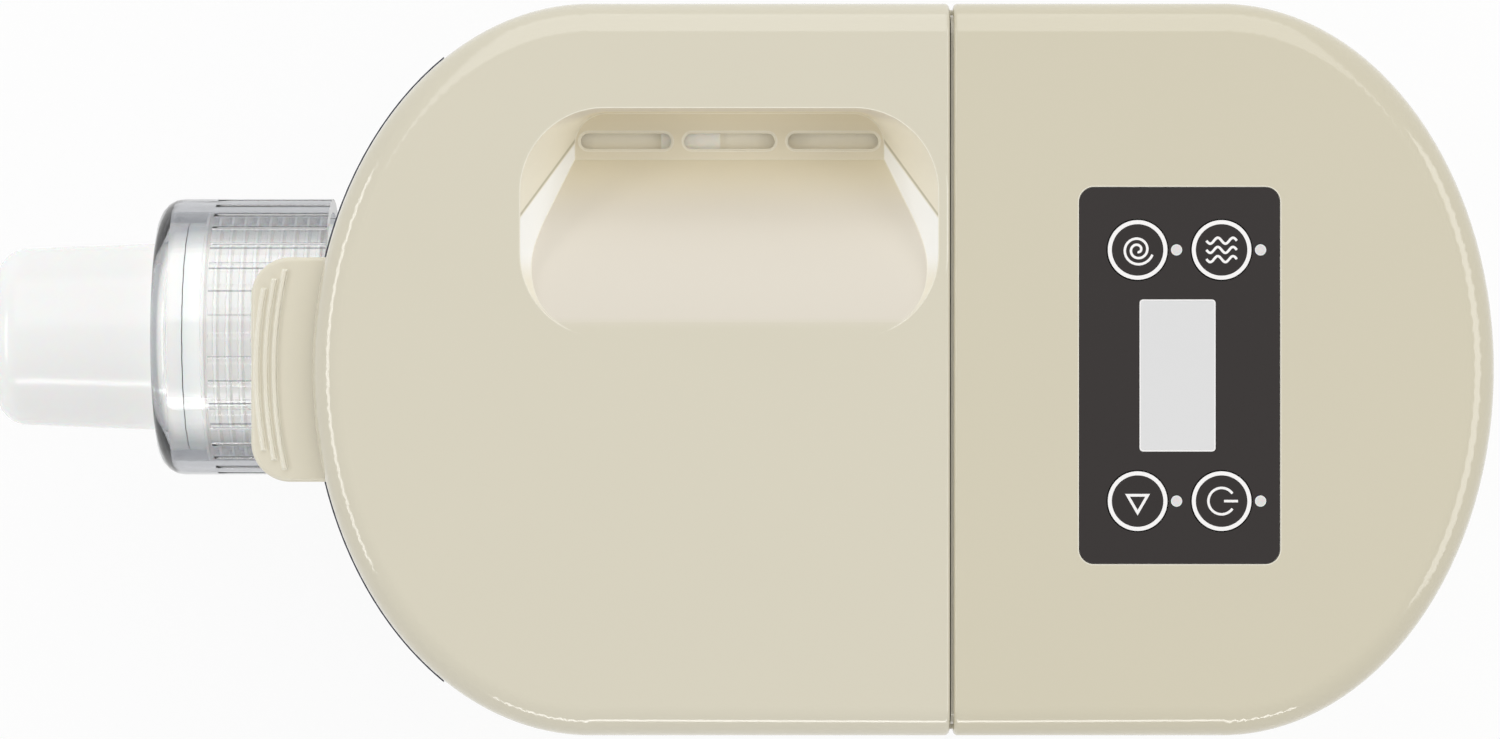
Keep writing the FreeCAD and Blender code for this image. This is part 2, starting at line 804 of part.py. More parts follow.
# Noodle disc: dropped into the snout from behind, with the noodle holes through it
disc = turned([(0, tip_y), (disc_boss_radius, tip_y), (disc_boss_radius, disc_step),
               (disc_flange_radius, disc_step), (disc_flange_radius, cavity_front), (0, cavity_front)])
noodle_holes = [rod(noodle_hole_radius, tip_y - past, cavity_front + past)]
for ring in range(1, noodle_ring_count + 1):
    hole_count = noodles_in_first_ring_count * ring
    for index in range(hole_count):
        angle = 2 * math.pi * index / hole_count
        centre = V(axis_x + ring * noodle_hole_pitch * math.cos(angle), 0,
                   axis_z + ring * noodle_hole_pitch * math.sin(angle))
        noodle_holes.append(rod(noodle_hole_radius, tip_y - past, cavity_front + past, centre))
parts["noodle_disc"] = cut(disc, noodle_holes)

# Clear nut, with grip flutes round its rear part
nut_bore = barrel_radius + thread_height + thread_clearance
nut_step_count = 5
nut_outline = [(nut_radius, nut_rear)]
for step in range(nut_step_count + 1):
    angle = math.pi / 2 * step / nut_step_count
    nut_outline.append((nut_radius - nut_corner * (1 - math.cos(angle)),
                        nut_front + nut_corner * (1 - math.sin(angle))))
nut_mouth = snout_base_radius + die_gap
nut = turned([(nut_bore, nut_rear)] + nut_outline
             + [(nut_mouth, nut_front), (nut_mouth, nut_front + nut_front_wall),
                (nut_bore, nut_front + nut_front_wall)])
flutes = []
for index in range(nut_flute_count):
    angle = 2 * math.pi * index / nut_flute_count
    reach = nut_radius + nut_flute_radius - nut_flute_depth
    centre = V(axis_x + reach * math.cos(angle), 0, axis_z + reach * math.sin(angle))
    flutes.append(rod(nut_flute_radius, nut_rear - nut_flute_length, nut_rear + past, centre))
parts["clamp_nut"] = cut(nut, flutes)

# Front fascia: a dark skin round the front of the body, held by four pegs
fascia = capsule(-fascia_gap - fascia_thickness, fascia_bottom, fascia_top)
fascia = fascia.cut(capsule(-fascia_gap, fascia_bottom - past, fascia_top + past))
fascia = fascia.common(box(-body_width, body_width, tip_y, front_y + fascia_wrap, 0, top_height))
for side in boss_sides:
    for level in peg_levels:
        at = V(side * peg_across, 0, level)
        peg = rod(peg_radius, front_y, front_y + peg_length, at)
        peg = peg.common(capsule(-fascia_gap - fascia_thickness / 2, 0, top_height))
        fascia = fascia.fuse(peg)
fascia_hole = rod(barrel_hole_radius, tip_y, bowl_front)
parts["front_fascia"] = fascia.cut(fascia_hole).removeSplitter()
parts["main_body"] = main_body.removeSplitter()

# Shell of the lid and of the rear cover


def cap_outside(y0, y1):
    block = capsule(0, cap_bottom, top_height)
    top_edges = edges_where(block, lambda b: b.ZMin > top_height - close)
    block = block.makeFillet(cap_round, top_edges)
    return block.common(box(-body_width, body_width, y0, y1, 0, top_height + past))


def cap_inside(y0, y1):
    block = capsule(cap_wall, cap_bottom - past, cap_ceiling)
    top_edges = edges_where(block, lambda b: b.ZMin > cap_ceiling - close)
    block = block.makeFillet(cap_round - cap_wall, top_edges)
    return block.common(box(-body_width, body_width, y0, y1, 0, top_height + past))


def soften_split(shape, plane_y):
    rim_edges = edges_where(shape, lambda b: b.YLength < close and abs(b.YMin - plane_y) < close
                            and b.ZMax > cap_bottom + past)
    return shape.makeFillet(split_round, rim_edges)


# Lid, with the scoop that water is poured in
lid_rear = split_y - split_gap / 2
lid = soften_split(cap_outside(tip_y, lid_rear), lid_rear)
lid = lid.cut(cap_inside(tip_y, lid_rear - cap_wall))


scoop_floor_width = 32.0


def scoop_tool(grow):
    # The space of the scoop, grown by a wall for its outside.
    low = top_height - scoop_depth - grow
    bottom = rounded_wire(scoop_left + scoop_back_flare - grow, scoop_left + scoop_floor_width,
                          scoop_front + scoop_flare - grow, scoop_rear - scoop_flare + grow,
                          low, scoop_low_corner + grow)
    top = rounded_wire(scoop_left - grow, scoop_right + grow, scoop_front - grow,
                       scoop_rear + grow, top_height, scoop_corner + grow)
    tub = Part.makeLoft([bottom, top], True, True)
    radius = scoop_rise_radius + grow
    slope = math.radians(scoop_slope)
    arc_end = V(scoop_right, 0, top_height)
    centre = V(scoop_right, 0, top_height - scoop_rise_radius)
    if grow > 0:
        arc_end = V(scoop_right, 0, top_height - grow)
        radius = scoop_rise_radius - grow
    arc_middle = centre + V(-math.sin(slope / 2), 0, math.cos(slope / 2)) * radius
    arc_start = centre + V(-math.sin(slope), 0, math.cos(slope)) * radius
    drop = arc_start.z - low
    toe = V(arc_start.x - drop / math.tan(slope), 0, low)
    far = V(scoop_left - body_width, 0, low)
    right = scoop_right + body_width
    high = top_height + past
    edges = [Part.makeLine(far, toe), Part.makeLine(toe, arc_start),
             Part.Arc(arc_start, arc_middle, arc_end).toShape(),
             Part.makeLine(arc_end, V(right, 0, arc_end.z)),
             Part.makeLine(V(right, 0, arc_end.z), V(right, 0, high)),
             Part.makeLine(V(right, 0, high), V(far.x, 0, high)),
             Part.makeLine(V(far.x, 0, high), far)]
    profile = Part.Face(Part.Wire(edges))
    profile.translate(V(0, tip_y, 0))
    above_floor = profile.extrude(V(0, overall_length, 0))
    return tub.common(above_floor)


skirt_thickness = 2.0
skirt_low = cap_bottom + 3.0
skirt = box(bowl_left, bowl_right, bowl_front - bowl_wall, bowl_back, skirt_low, cap_ceiling + past)
skirt = skirt.cut(box(bowl_left + skirt_thickness, bowl_right - skirt_thickness,
                      bowl_front - bowl_wall + skirt_thickness, bowl_back - skirt_thickness,
                      skirt_low - past, cap_ceiling + 2 * past))
lid_front_row = 95.0
lid_rear_row = 14.0
lid_rows = (front_y + lid_front_row, lid_rear - lid_rear_row)
pillars = []
for side in boss_sides:
    for row in lid_rows:
        pillars.append(post(pillar_radius, side * (half_width - pillar_inset), row,
                            deck_height + rest_gap, cap_ceiling + past))
magnet_x = half_width - 20.0
magnet_y = lid_rear - 30.0
magnet_radius = 4.0
magnet_height = 5.0
magnet_wall = 2.5
magnet_holder = post(magnet_radius + magnet_wall, magnet_x, magnet_y, cap_bottom, cap_ceiling + past)
ears = []
ear_inner = latch_width / 2 - ear_inset
ear_z = latch_level + latch_thickness / 2
for side in boss_sides:
    ear_x = side * (ear_inner + ear_thickness / 2)
    ear = box(ear_x - ear_thickness / 2, ear_x + ear_thickness / 2,
              latch_pivot_y - ear_reach, latch_pivot_y + ear_reach, ear_z - ear_reach, cap_ceiling + past)
    ear_hole = Part.makeCylinder(latch_pin_radius, ear_thickness + 2 * past,
                                 V(ear_x - ear_thickness / 2 - past, latch_pivot_y, ear_z), X_AXIS)
    ears.append(ear.cut(ear_hole).common(cap_outside(tip_y, lid_rear)))
scoop_outside = scoop_tool(scoop_wall).common(cap_outside(tip_y, lid_rear - rest_gap))
slot_x = scoop_left + slot_from_back
slot_middle_y = (scoop_front + scoop_rear) / 2
scoop_floor = top_height - scoop_depth
channel_top = scoop_floor - channel_roof
channel_floor = channel_top - channel_depth
channel_half_width = slot_width / 2 + channel_side_room
channel_half_length = slot_pitch * (slot_count - 1) / 2 + slot_length / 2 + channel_side_room
channel = box(slot_x - channel_half_width - channel_wall, slot_x + channel_half_width + channel_wall,
              slot_middle_y - channel_half_length - channel_wall,
              slot_middle_y + channel_half_length + channel_wall,
              channel_floor - channel_wall, channel_top)
channel_space = box(slot_x - channel_half_width, slot_x + channel_half_width,
                    slot_middle_y - channel_half_length, slot_middle_y + channel_half_length,
                    channel_floor, channel_top)
lid = fuse([lid, skirt, scoop_outside, channel, magnet_holder] + pillars + ears)
lid = cut(lid, [scoop_tool(0), channel_space])


def slot_space(y, grow, z0):
    # One water slot, with round ends.
    half_across = slot_width / 2 + grow
    half_along = slot_length / 2 + grow
    return rounded_box(slot_x - half_across, slot_x + half_across, y - half_along, y + half_along,
                       z0, top_height, half_across - close)


for index in range(slot_count):
    slot_y = slot_middle_y + (index - (slot_count - 1) / 2) * slot_pitch
    lid = lid.cut(slot_space(slot_y, 0, channel_top - close))
    lid = lid.cut(slot_space(slot_y, slot_rim_width, scoop_floor - slot_rim_depth))

# Drip nozzle: a white silicone plug in the floor of the channel under the slots
nozzle_y = slot_middle_y + nozzle_shift
nozzle_hole_y = slot_middle_y - slot_pitch / 2
nozzle_top = channel_floor + nozzle_flange
nozzle_low = channel_floor - channel_wall - nozzle_drop
nozzle_stem_half_width = nozzle_width / 2 - nozzle_flange
nozzle_stem_half_length = nozzle_length / 2 - nozzle_flange
nozzle_corner = nozzle_flange
nozzle_seat = rounded_box(slot_x - nozzle_stem_half_width, slot_x + nozzle_stem_half_width,
                          nozzle_y - nozzle_stem_half_length, nozzle_y + nozzle_stem_half_length,
                          nozzle_low, nozzle_top, nozzle_corner)
nozzle_plate = rounded_box(slot_x - nozzle_width / 2, slot_x + nozzle_width / 2,
                           nozzle_y - nozzle_length / 2, nozzle_y + nozzle_length / 2,
                           channel_floor, nozzle_top, nozzle_corner)
nozzle_hole = post(nozzle_hole_radius, slot_x, nozzle_hole_y, nozzle_low - past, nozzle_top + past)
lid = lid.cut(nozzle_seat)
parts["drip_nozzle"] = fuse([nozzle_seat, nozzle_plate]).cut(nozzle_hole)
latch_notch = box(-latch_width / 2 - latch_side_gap, latch_width / 2 + latch_side_gap,
                  tip_y, latch_pivot_y - ear_reach - ear_slack, cap_bottom - past,
                  latch_level + latch_thickness + latch_lift_room)
lid = cut(lid, [latch_notch, post(magnet_radius, magnet_x, magnet_y, cap_bottom, cap_bottom + magnet_height)])
parts["lid"] = lid.removeSplitter()
parts["lid_magnet"] = post(magnet_radius, magnet_x, magnet_y, cap_bottom, cap_bottom + magnet_height)
sensor_half_width = 9.0
sensor_half_depth = 4.0
sensor_height = 7.0
parts["lid_sensor"] = box(magnet_x - sensor_half_width, magnet_x + sensor_half_width,
                          magnet_y - sensor_half_depth, magnet_y + sensor_half_depth,
                          deck_bottom - sensor_height, deck_bottom)
seal_outset = 0.5
seal_inset = skirt_thickness + 1.0
lid_seal = box(bowl_left - seal_outset, bowl_right + seal_outset, bowl_front - bowl_wall - seal_outset,
               bowl_back + seal_outset, bowl_top + seat_gap, skirt_low)
parts["lid_seal"] = lid_seal.cut(box(bowl_left + seal_inset, bowl_right - seal_inset,
                                     bowl_front - bowl_wall + seal_inset, bowl_back - seal_inset,
                                     bowl_top - past, top_height))

# Latch: a ribbed lever under the lid's front edge, on a steel pin
latch_tip = front_y - latch_reach
lever = rounded_box(-latch_width / 2, latch_width / 2, latch_tip, latch_pivot_y + 2 * latch_corner,
                    latch_level, latch_level + latch_thickness, latch_corner)
lever = lever.common(box(-body_width, body_width, latch_tip - past, front_y + lever_reach, 0, top_height))
lever_top = latch_level + latch_thickness
lever_rear = front_y + lever_reach
lever_top_edges = edges_where(lever, lambda b: b.ZMin > lever_top - close
                              and b.YMin < lever_rear - neck_overlap)
lever = lever.makeFillet(lever_round, lever_top_edges)
neck_half = ear_inner - seat_gap
neck = box(-neck_half, neck_half, lever_rear - neck_overlap, latch_pivot_y, latch_level, lever_top)
latch_barrel = Part.makeCylinder(latch_barrel_radius, 2 * neck_half,
                                 V(-neck_half, latch_pivot_y, ear_z), X_AXIS)
hook_low = ear_z - hook_drop - barb_height / 2
arm = box(-hook_width / 2, hook_width / 2, latch_pivot_y - hook_thickness / 2,
          latch_pivot_y + hook_thickness / 2, hook_low, ear_z)
barb = box(-hook_width / 2, hook_width / 2, latch_pivot_y, latch_pivot_y + hook_thickness / 2 + barb_depth,
           hook_low, hook_low + barb_height)
rib_arcs = []
for index in range(rib_count):
    half_span = rib_half_span + rib_span_step * index
    centre = V(0, latch_tip + rib_from_tip + index * rib_pitch + rib_radius, lever_top - rib_root)
    outer = Part.makeCylinder(rib_radius + rib_width / 2, rib_height + rib_root, centre)
    inner = Part.makeCylinder(rib_radius - rib_width / 2, rib_height + rib_root, centre)
    rib = outer.cut(inner).common(box(-half_span, half_span, latch_tip, front_y, 0, top_height))
    rib_top = edges_where(rib, lambda b: b.ZMin > lever_top + rib_height - close)
    rib_arcs.append(rib.makeFillet(rib_round, rib_top))
lever = fuse([lever, neck, latch_barrel, arm, barb] + rib_arcs)
latch_pin_fit = 0.05
pin_bore = Part.makeCylinder(latch_pin_radius + latch_pin_fit, body_width,
                             V(-half_width, latch_pivot_y, ear_z), X_AXIS)
parts["lid_latch"] = lever.cut(pin_bore)
pin_half = ear_inner + ear_thickness
parts["latch_pin"] = Part.makeCylinder(latch_pin_radius, 2 * pin_half,
                                       V(-pin_half, latch_pivot_y, ear_z), X_AXIS)

# Rear cover with the pocket for the control panel
cover_front = split_y + split_gap / 2
cover = soften_split(cap_outside(cover_front, rear_y + past), cover_front)
cover = cover.cut(cap_inside(cover_front + cap_wall, rear_y + past))
ledge = capsule(ledge_drop, cap_bottom, top_height - ledge_drop)
ledge_edges = edges_where(ledge, lambda b: b.ZMin > top_height - ledge_drop - close)
ledge = ledge.makeFillet(cap_round - ledge_drop, ledge_edges)
ledge = ledge.common(box(-body_width, body_width, lid_rear + ledge_gap, cover_front + past, 0, top_height))
panel_y = split_y + panel_from_split + panel_depth / 2
panel_top = top_height - panel_recess
panel_floor = panel_top - panel_thickness
panel_left = panel_side_offset - panel_width / 2
panel_right = panel_side_offset + panel_width / 2
cover_front_row = 16.0
cover_rear_row = 62.0
cover_rows = (cover_front + cover_front_row, cover_front + cover_rear_row)
cover_pillars = []
cover_screws = []
for side in boss_sides:
    for row in cover_rows:
        pillar_x = side * (half_width - pillar_inset)
        pillar = post(pillar_radius, pillar_x, row, deck_height, cap_ceiling + past)
        pilot = post(small_screw_radius, pillar_x, row, deck_height - past, deck_height + small_pilot_depth)
        cover_pillars.append(pillar.cut(pilot))
        cover_screws.append(screw(pillar_x, row, deck_bottom, Z_AXIS, small_head_radius, small_head_height,
                                  small_screw_radius, deck_thickness + small_screw_bite))
        deck_hole = post(small_hole_radius, pillar_x, row, deck_bottom - past, deck_height + past)
        parts["main_body"] = parts["main_body"].cut(deck_hole)
parts["cover_screws"] = group(cover_screws)
board_level = top_height - board_drop
board_side_inset = 2.0
board_post_inset = 6.0
board_end_reach = 4.0
board_post_x = panel_width / 6
board_half_width = panel_width / 2 - board_side_inset
board_post_y = panel_depth / 2 - board_post_inset
board_posts = []
board_screws = []
for side in boss_sides:
    for end in boss_sides:
        post_x = panel_side_offset + side * board_post_x
        post_y = panel_y + end * board_post_y
        upright = post(panel_post_radius, post_x, post_y, board_level, cap_ceiling + past)
        pilot = post(panel_screw_radius, post_x, post_y, board_level - past, board_level + panel_pilot_depth)
        board_posts.append(upright.cut(pilot))
        board_screws.append(screw(post_x, post_y, board_level - board_thickness, Z_AXIS, panel_head_radius,
                                  panel_head_height, panel_screw_radius, board_thickness + panel_screw_bite))
parts["board_screws"] = group(board_screws + power_screws)
cover = fuse([cover, ledge] + cover_pillars + board_posts)
pocket = rounded_box(panel_left - panel_clearance, panel_right + panel_clearance,
                     panel_y - panel_depth / 2 - panel_clearance, panel_y + panel_depth / 2 + panel_clearance,
                     panel_floor, top_height + past, panel_corner + panel_clearance)
cover = cover.cut(pocket)
overlay = rounded_box(panel_left, panel_right, panel_y - panel_depth / 2, panel_y + panel_depth / 2,
                      panel_floor, panel_top, panel_corner)
key_names = ("key_knead", "key_extrude", "key_auto", "key_power")
key_places = []
for side in boss_sides:
    for end in boss_sides:
        key_places.append((panel_side_offset + side * key_across, panel_y + end * key_along))
lenses = []
switches = []
key_flange_top = cap_ceiling - seat_gap
stem_low = board_level + switch_height + plunger_height + key_travel + key_rest_gap
for name, (key_x, key_y) in zip(key_names, key_places):
    hole = post(key_radius + key_clearance, key_x, key_y, board_level, top_height + past)
    cover = cover.cut(hole)
    overlay = overlay.cut(hole)
    cap = post(key_radius, key_x, key_y, key_flange_top - past, top_height)
    cap = cap.makeFillet(key_round, edges_where(cap, lambda b: b.ZMin > top_height - close))
    flange = post(key_radius + key_flange, key_x, key_y,
                  key_flange_top - key_flange_thickness, key_flange_top)
    stem = post(key_stem_radius, key_x, key_y, stem_low, key_flange_top)
    parts[name] = fuse([cap, flange, stem])
    lens_y = key_y + lens_from_key
    lens_hole = post(lens_radius + lens_fit, key_x, lens_y, board_level, top_height + past)
    cover = cover.cut(lens_hole)
    overlay = overlay.cut(lens_hole)
    lenses.append(post(lens_radius, key_x, lens_y, board_level + lens_stand, top_height - lens_recess))
    body_of_switch = box(key_x - switch_size / 2, key_x + switch_size / 2, key_y - switch_size / 2,
                         key_y + switch_size / 2, board_level, board_level + switch_height)
    switch_top = board_level + switch_height
    plunger = post(plunger_radius, key_x, key_y, switch_top, switch_top + plunger_height)
    switches.append(body_of_switch.fuse(plunger))
parts["indicator_lenses"] = group(lenses)
parts["tact_switches"] = group(switches)
display_y = panel_y + display_shift


def display_shape(grow, z0, z1):
    reach_x = display_width / 2 + grow
    reach_y = display_depth / 2 + grow
    return rounded_box(panel_side_offset - reach_x, panel_side_offset + reach_x,
                       display_y - reach_y, display_y + reach_y,
                       z0, z1, max(display_corner + grow, display_corner / 2))


overlay = overlay.cut(display_shape(lens_fit, panel_floor - past, top_height + past))
cover = cover.cut(display_shape(-display_ledge, board_level, top_height + past))
parts["panel_overlay"] = overlay
parts["rear_cover"] = cover
parts["display_window"] = display_shape(0, panel_floor, panel_top)
parts["display_module"] = display_shape(-display_ledge - module_gap, board_level, panel_floor - module_drop)
control_board = box(panel_side_offset - board_half_width, panel_side_offset + board_half_width,
                    panel_y - board_post_y - board_end_reach, panel_y + board_post_y + board_end_reach,
                    board_level - board_thickness, board_level)
for side in boss_sides:
    for end in boss_sides:
        control_board = control_board.cut(post(panel_screw_radius, panel_side_offset + side * board_post_x,
                                               panel_y + end * board_post_y, 0, top_height))
parts["control_board"] = control_board

# Gear train: motor pinion, compound idler and output gear
gearbox_front = bulkhead_rear
out_gear_start = gearbox_front + gearbox_plate + gear_plane_gap
out_gear_end = out_gear_start + out_gear_width
idler_gear_start = out_gear_end + gear_plane_gap
idler_gear_end = idler_gear_start + idler_gear_width
gearbox_rear = idler_gear_end + gear_plane_gap
cover_rear = gearbox_rear + gearbox_plate
out_distance = gear_module_out * (out_tooth_count + idler_small_tooth_count) / 2
in_distance = gear_module_in * (idler_big_tooth_count + pinion_tooth_count) / 2


def towards(centre, angle, distance):
    turn = math.radians(angle)
    return V(centre.x + distance * math.cos(turn), 0, centre.z + distance * math.sin(turn))


idler_line = towards(shaft_line, idler_direction, out_distance)
motor_line = towards(idler_line, motor_direction, in_distance)
output_gear = involute_gear(out_tooth_count, gear_module_out, out_gear_start, out_gear_end,
                            shaft_line, idler_direction)
output_hub = rod(out_hub_radius, out_gear_start - out_hub_stand, out_gear_end)
output_gear = output_gear.fuse(output_hub)
for index in range(out_window_count):
    window_line = towards(shaft_line, 360.0 * index / out_window_count, out_window_reach)
    window = rod(out_window_radius, out_gear_start - past, out_gear_end + past, window_line)
    output_gear = output_gear.cut(window)
output_bore = rod(shaft_radius, out_gear_start - out_hub_stand - past, out_gear_end + past)
parts["output_gear"] = output_gear.cut(output_bore)
small_gap_angle = idler_direction + 180 + 180.0 / idler_small_tooth_count
idler_small = involute_gear(idler_small_tooth_count, gear_module_out, out_gear_start, idler_gear_start + past,
                            idler_line, small_gap_angle)
idler_big = involute_gear(idler_big_tooth_count, gear_module_in, idler_gear_start, idler_gear_end,
                          idler_line, motor_direction)
idler = idler_small.fuse(idler_big)
idler = idler.cut(rod(idler_pin_radius + shaft_fit, out_gear_start - past, idler_gear_end + past, idler_line))
parts["idler_gear"] = idler
parts["idler_pin"] = rod(idler_pin_radius, gearbox_front + pin_end_wall,
                         cover_rear - pin_end_wall, idler_line)
pinion_gap_angle = motor_direction + 180 + 180.0 / pinion_tooth_count
pinion_start = idler_gear_start - pinion_lead
pinion = involute_gear(pinion_tooth_count, gear_module_in, pinion_start, pinion_start + pinion_width,
                       motor_line, pinion_gap_angle)
parts["motor_pinion"] = pinion.cut(rod(motor_shaft_radius, pinion_start - 1, gearbox_rear, motor_line))

# Gearbox housing and cover, bolted to the bulkhead with four long screws
out_reach = gear_module_out * (out_tooth_count / 2 + 1) + gearbox_gap
in_reach = gear_module_in * (idler_big_tooth_count / 2 + 1) + gearbox_gap
box_left = axis_x - out_reach
box_right = idler_line.x + in_reach
box_low = axis_z - out_reach
box_high = idler_line.z + in_reach


def gearbox_block(grow, y0, y1):
    block = box(box_left - grow, box_right + grow, y0, y1, box_low - grow, box_high + grow)
    corners = edges_where(block, lambda b: b.YLength > (y1 - y0) / 2)
    return block.makeFillet(gearbox_corner + grow, corners)


gearbox = gearbox_block(gearbox_wall, gearbox_front, gearbox_rear)
gearbox = gearbox.cut(gearbox_block(0, gearbox_front + gearbox_plate, gearbox_rear + past))
corner_lines = []
for corner_x in (box_left + gearbox_boss_inset, box_right - gearbox_boss_inset):
    for corner_z in (box_low + gearbox_boss_inset, box_high - gearbox_boss_inset):
        corner_lines.append(V(corner_x, 0, corner_z))
gearbox_bosses = [rod(gearbox_boss_radius, gearbox_front, gearbox_rear, line) for line in corner_lines]
gearbox = fuse([gearbox] + gearbox_bosses)
gearbox_cover = gearbox_block(gearbox_wall, gearbox_rear, cover_rear)
bush_radius = shaft_radius + bush_wall
gearbox_screws = []
for line in corner_lines:
    through = rod(screw_hole_radius, gearbox_front - past, cover_rear + past, line)
    gearbox = gearbox.cut(through)
    gearbox_cover = gearbox_cover.cut(through)
    bulkhead_hole = rod(screw_radius, bulkhead_front - past, bulkhead_rear + past, line)
    parts["main_body"] = parts["main_body"].cut(bulkhead_hole)
    length = cover_rear - bulkhead_rear + bulkhead_thickness - screw_seat
    gearbox_screws.append(screw(line.x, cover_rear, line.z, -Y_AXIS, gearbox_head_radius, gearbox_head_height,
                                screw_radius, length))
parts["gearbox_screws"] = group(gearbox_screws)
idler_seat = parts["idler_pin"]
parts["gearbox_housing"] = cut(gearbox, [rod(bush_radius, bowl_front, gearbox_rear), idler_seat])
motor_screw_lines = [towards(motor_line, motor_direction - 90, motor_screw_reach),
                     towards(motor_line, motor_direction + 90, motor_screw_reach)]
motor_screws = []
for line in motor_screw_lines:
    gearbox_cover = gearbox_cover.cut(rod(motor_screw_hole, gearbox_rear - past, cover_rear + past, line))
    motor_screws.append(screw(line.x, gearbox_rear, line.z, Y_AXIS, motor_head_radius, motor_head_height,
                              small_screw_radius, gearbox_plate + motor_screw_bite))
parts["motor_screws"] = group(motor_screws)
rear_bush_hole = rod(bush_radius, gearbox_rear - past, cover_rear + past)
motor_hole = rod(motor_hole_radius, gearbox_rear - past, cover_rear + past, motor_line)
parts["gearbox_cover"] = cut(gearbox_cover, [rear_bush_hole, idler_seat, motor_hole])


def bush(y0, y1):
    bore = shaft_radius + shaft_fit
    return turned([(bore, y0), (bush_radius, y0), (bush_radius, y1), (bore, y1)])


parts["front_bush"] = bush(gearbox_front - bush_stand, gearbox_front + gearbox_plate + bush_gear_gap)
parts["rear_bush"] = bush(gearbox_rear - bush_stand, cover_rear + bush_stand)

# Drive shaft: round in its bushes, six sided where the paddle and the auger slip on
shaft_step = bowl_rear - shaft_step_inset
shaft_rear = cover_rear + shaft_end


def hexagon(across, y0, y1):
    corner = across / math.sqrt(3)
    vertices = []
    for index in range(6):
        turn = math.radians(60 * index)
        vertices.append(V(axis_x + corner * math.cos(turn), y0, axis_z + corner * math.sin(turn)))
    face = Part.Face(Part.makePolygon(vertices + [vertices[0]]))
    return face.extrude(V(0, y1 - y0, 0))


hex_front = shaft_step - shaft_hex_reach
round_shaft = rod(shaft_radius, shaft_step, shaft_rear)
parts["drive_shaft"] = fuse([round_shaft, hexagon(hex_across, hex_front, shaft_step)])

# Kneading paddle: a hub with one loop across it
paddle_rear = bowl_rear - paddle_end_gap
auger_rear = bowl_front + auger_rear_in_bowl
paddle_front = auger_rear + paddle_auger_gap
hub = rod(paddle_hub_radius, paddle_front, paddle_rear)
span = paddle_half_span
bar = paddle_bar
loop = box(axis_x - span, axis_x + span, paddle_front, paddle_rear, axis_z - bar / 2, axis_z + bar / 2)
loop = loop.makeFillet(paddle_corner, edges_where(loop, lambda b: b.ZLength > bar / 2))
window = box(axis_x - span + bar, axis_x + span - bar, paddle_front + bar, paddle_rear - bar,
             axis_z - bar, axis_z + bar)
window = window.makeFillet(paddle_window_corner, edges_where(window, lambda b: b.ZLength > bar))
paddle = fuse([loop.cut(window), hub])
paddle = paddle.cut(hexagon(hex_across + hex_clearance, paddle_front - past, shaft_step + step_clearance))
paddle = paddle.cut(rod(shaft_radius + step_clearance, shaft_step - step_clearance, paddle_rear + past))
parts["kneading_paddle"] = paddle

# Auger: a screw flight round a core, running in the barrel
auger_front = barrel_front + auger_tip_setback
auger_radius = barrel_bore - auger_clearance
core = rod(auger_core_radius, auger_front, auger_rear)
flight_length = auger_rear - auger_front - auger_flight_thickness
helix = Part.makeHelix(auger_pitch, flight_length, auger_core_radius)
inner_x = auger_core_radius - auger_root
half_land = auger_flight_thickness / 2
tip_land = half_land * auger_land_taper
profile = Part.makePolygon([V(inner_x, 0, -half_land), V(auger_radius, 0, -tip_land),
                            V(auger_radius, 0, tip_land), V(inner_x, 0, half_land),
                            V(inner_x, 0, -half_land)])
flight = Part.Wire([helix]).makePipeShell([profile], True, True)
flight = flight if flight.ShapeType == "Solid" else Part.Solid(Part.Shell(flight.Faces))
flight.rotate(V(0, 0, 0), X_AXIS, 90)
flight.translate(V(axis_x, auger_rear - half_land, axis_z))
auger = fuse([core, flight])
auger = auger.cut(hexagon(hex_across + hex_clearance, hex_front - hex_clearance, auger_rear + past))
parts["extrusion_auger"] = auger

# Motor: steel can with two magnets, armature, end cap and cooling fan
can_front = cover_rear
can_rear = can_front + motor_length
can_inner = motor_radius - motor_can_wall
can = rod(motor_radius, can_front, can_rear, motor_line)
can = can.cut(rod(can_inner, can_front + motor_plate, can_rear + past, motor_line))
can_hole = rod(motor_shaft_radius + shaft_fit, can_front - past, can_front + motor_plate + past, motor_line)
can = can.cut(can_hole)
for line in motor_screw_lines:
    can = can.cut(rod(small_screw_radius, can_front - past, can_front + motor_screw_bite, line))
parts["motor_can"] = can
magnets = []
magnet_bore = armature_radius + magnet_air
armature_start = can_front + magnet_front
armature_end = can_rear - magnet_rear
magnet_ring = turned([(magnet_bore, armature_start), (can_inner, armature_start),
                      (can_inner, armature_end), (magnet_bore, armature_end)], motor_line)
for side in boss_sides:
    middle_x = motor_line.x + side * motor_radius
    half = box(middle_x - motor_radius + magnet_gap / 2, middle_x + motor_radius - magnet_gap / 2,
               can_front, can_rear, motor_line.z - motor_radius, motor_line.z + motor_radius)
    magnets.append(magnet_ring.common(half))
parts["motor_magnets"] = group(magnets)
cap_end = can_rear + motor_cap_thickness
end_cap = rod(motor_radius, can_rear, cap_end, motor_line)
end_cap = end_cap.cut(rod(motor_shaft_radius + shaft_fit, can_rear - past, cap_end + past, motor_line))
for index in range(cap_vent_count):
    vent_line = towards(motor_line, 360.0 * index / cap_vent_count, cap_vent_reach)
    end_cap = end_cap.cut(rod(cap_vent_radius, can_rear - past, cap_end + past, vent_line))
parts["motor_end_cap"] = end_cap
fan_start = cap_end + fan_gap
fan_end = fan_start + fan_width
armature = rod(armature_radius, armature_start, armature_end, motor_line)
commutator = rod(commutator_radius, armature_end, can_rear - commutator_end, motor_line)
rotor_shaft = rod(motor_shaft_radius, pinion_start, fan_end, motor_line)
for index in range(winding_slot_count):
    groove = towards(motor_line, 360.0 * index / winding_slot_count, armature_radius)
    armature = armature.cut(rod(winding_slot_radius, armature_start - past, armature_end + past, groove))
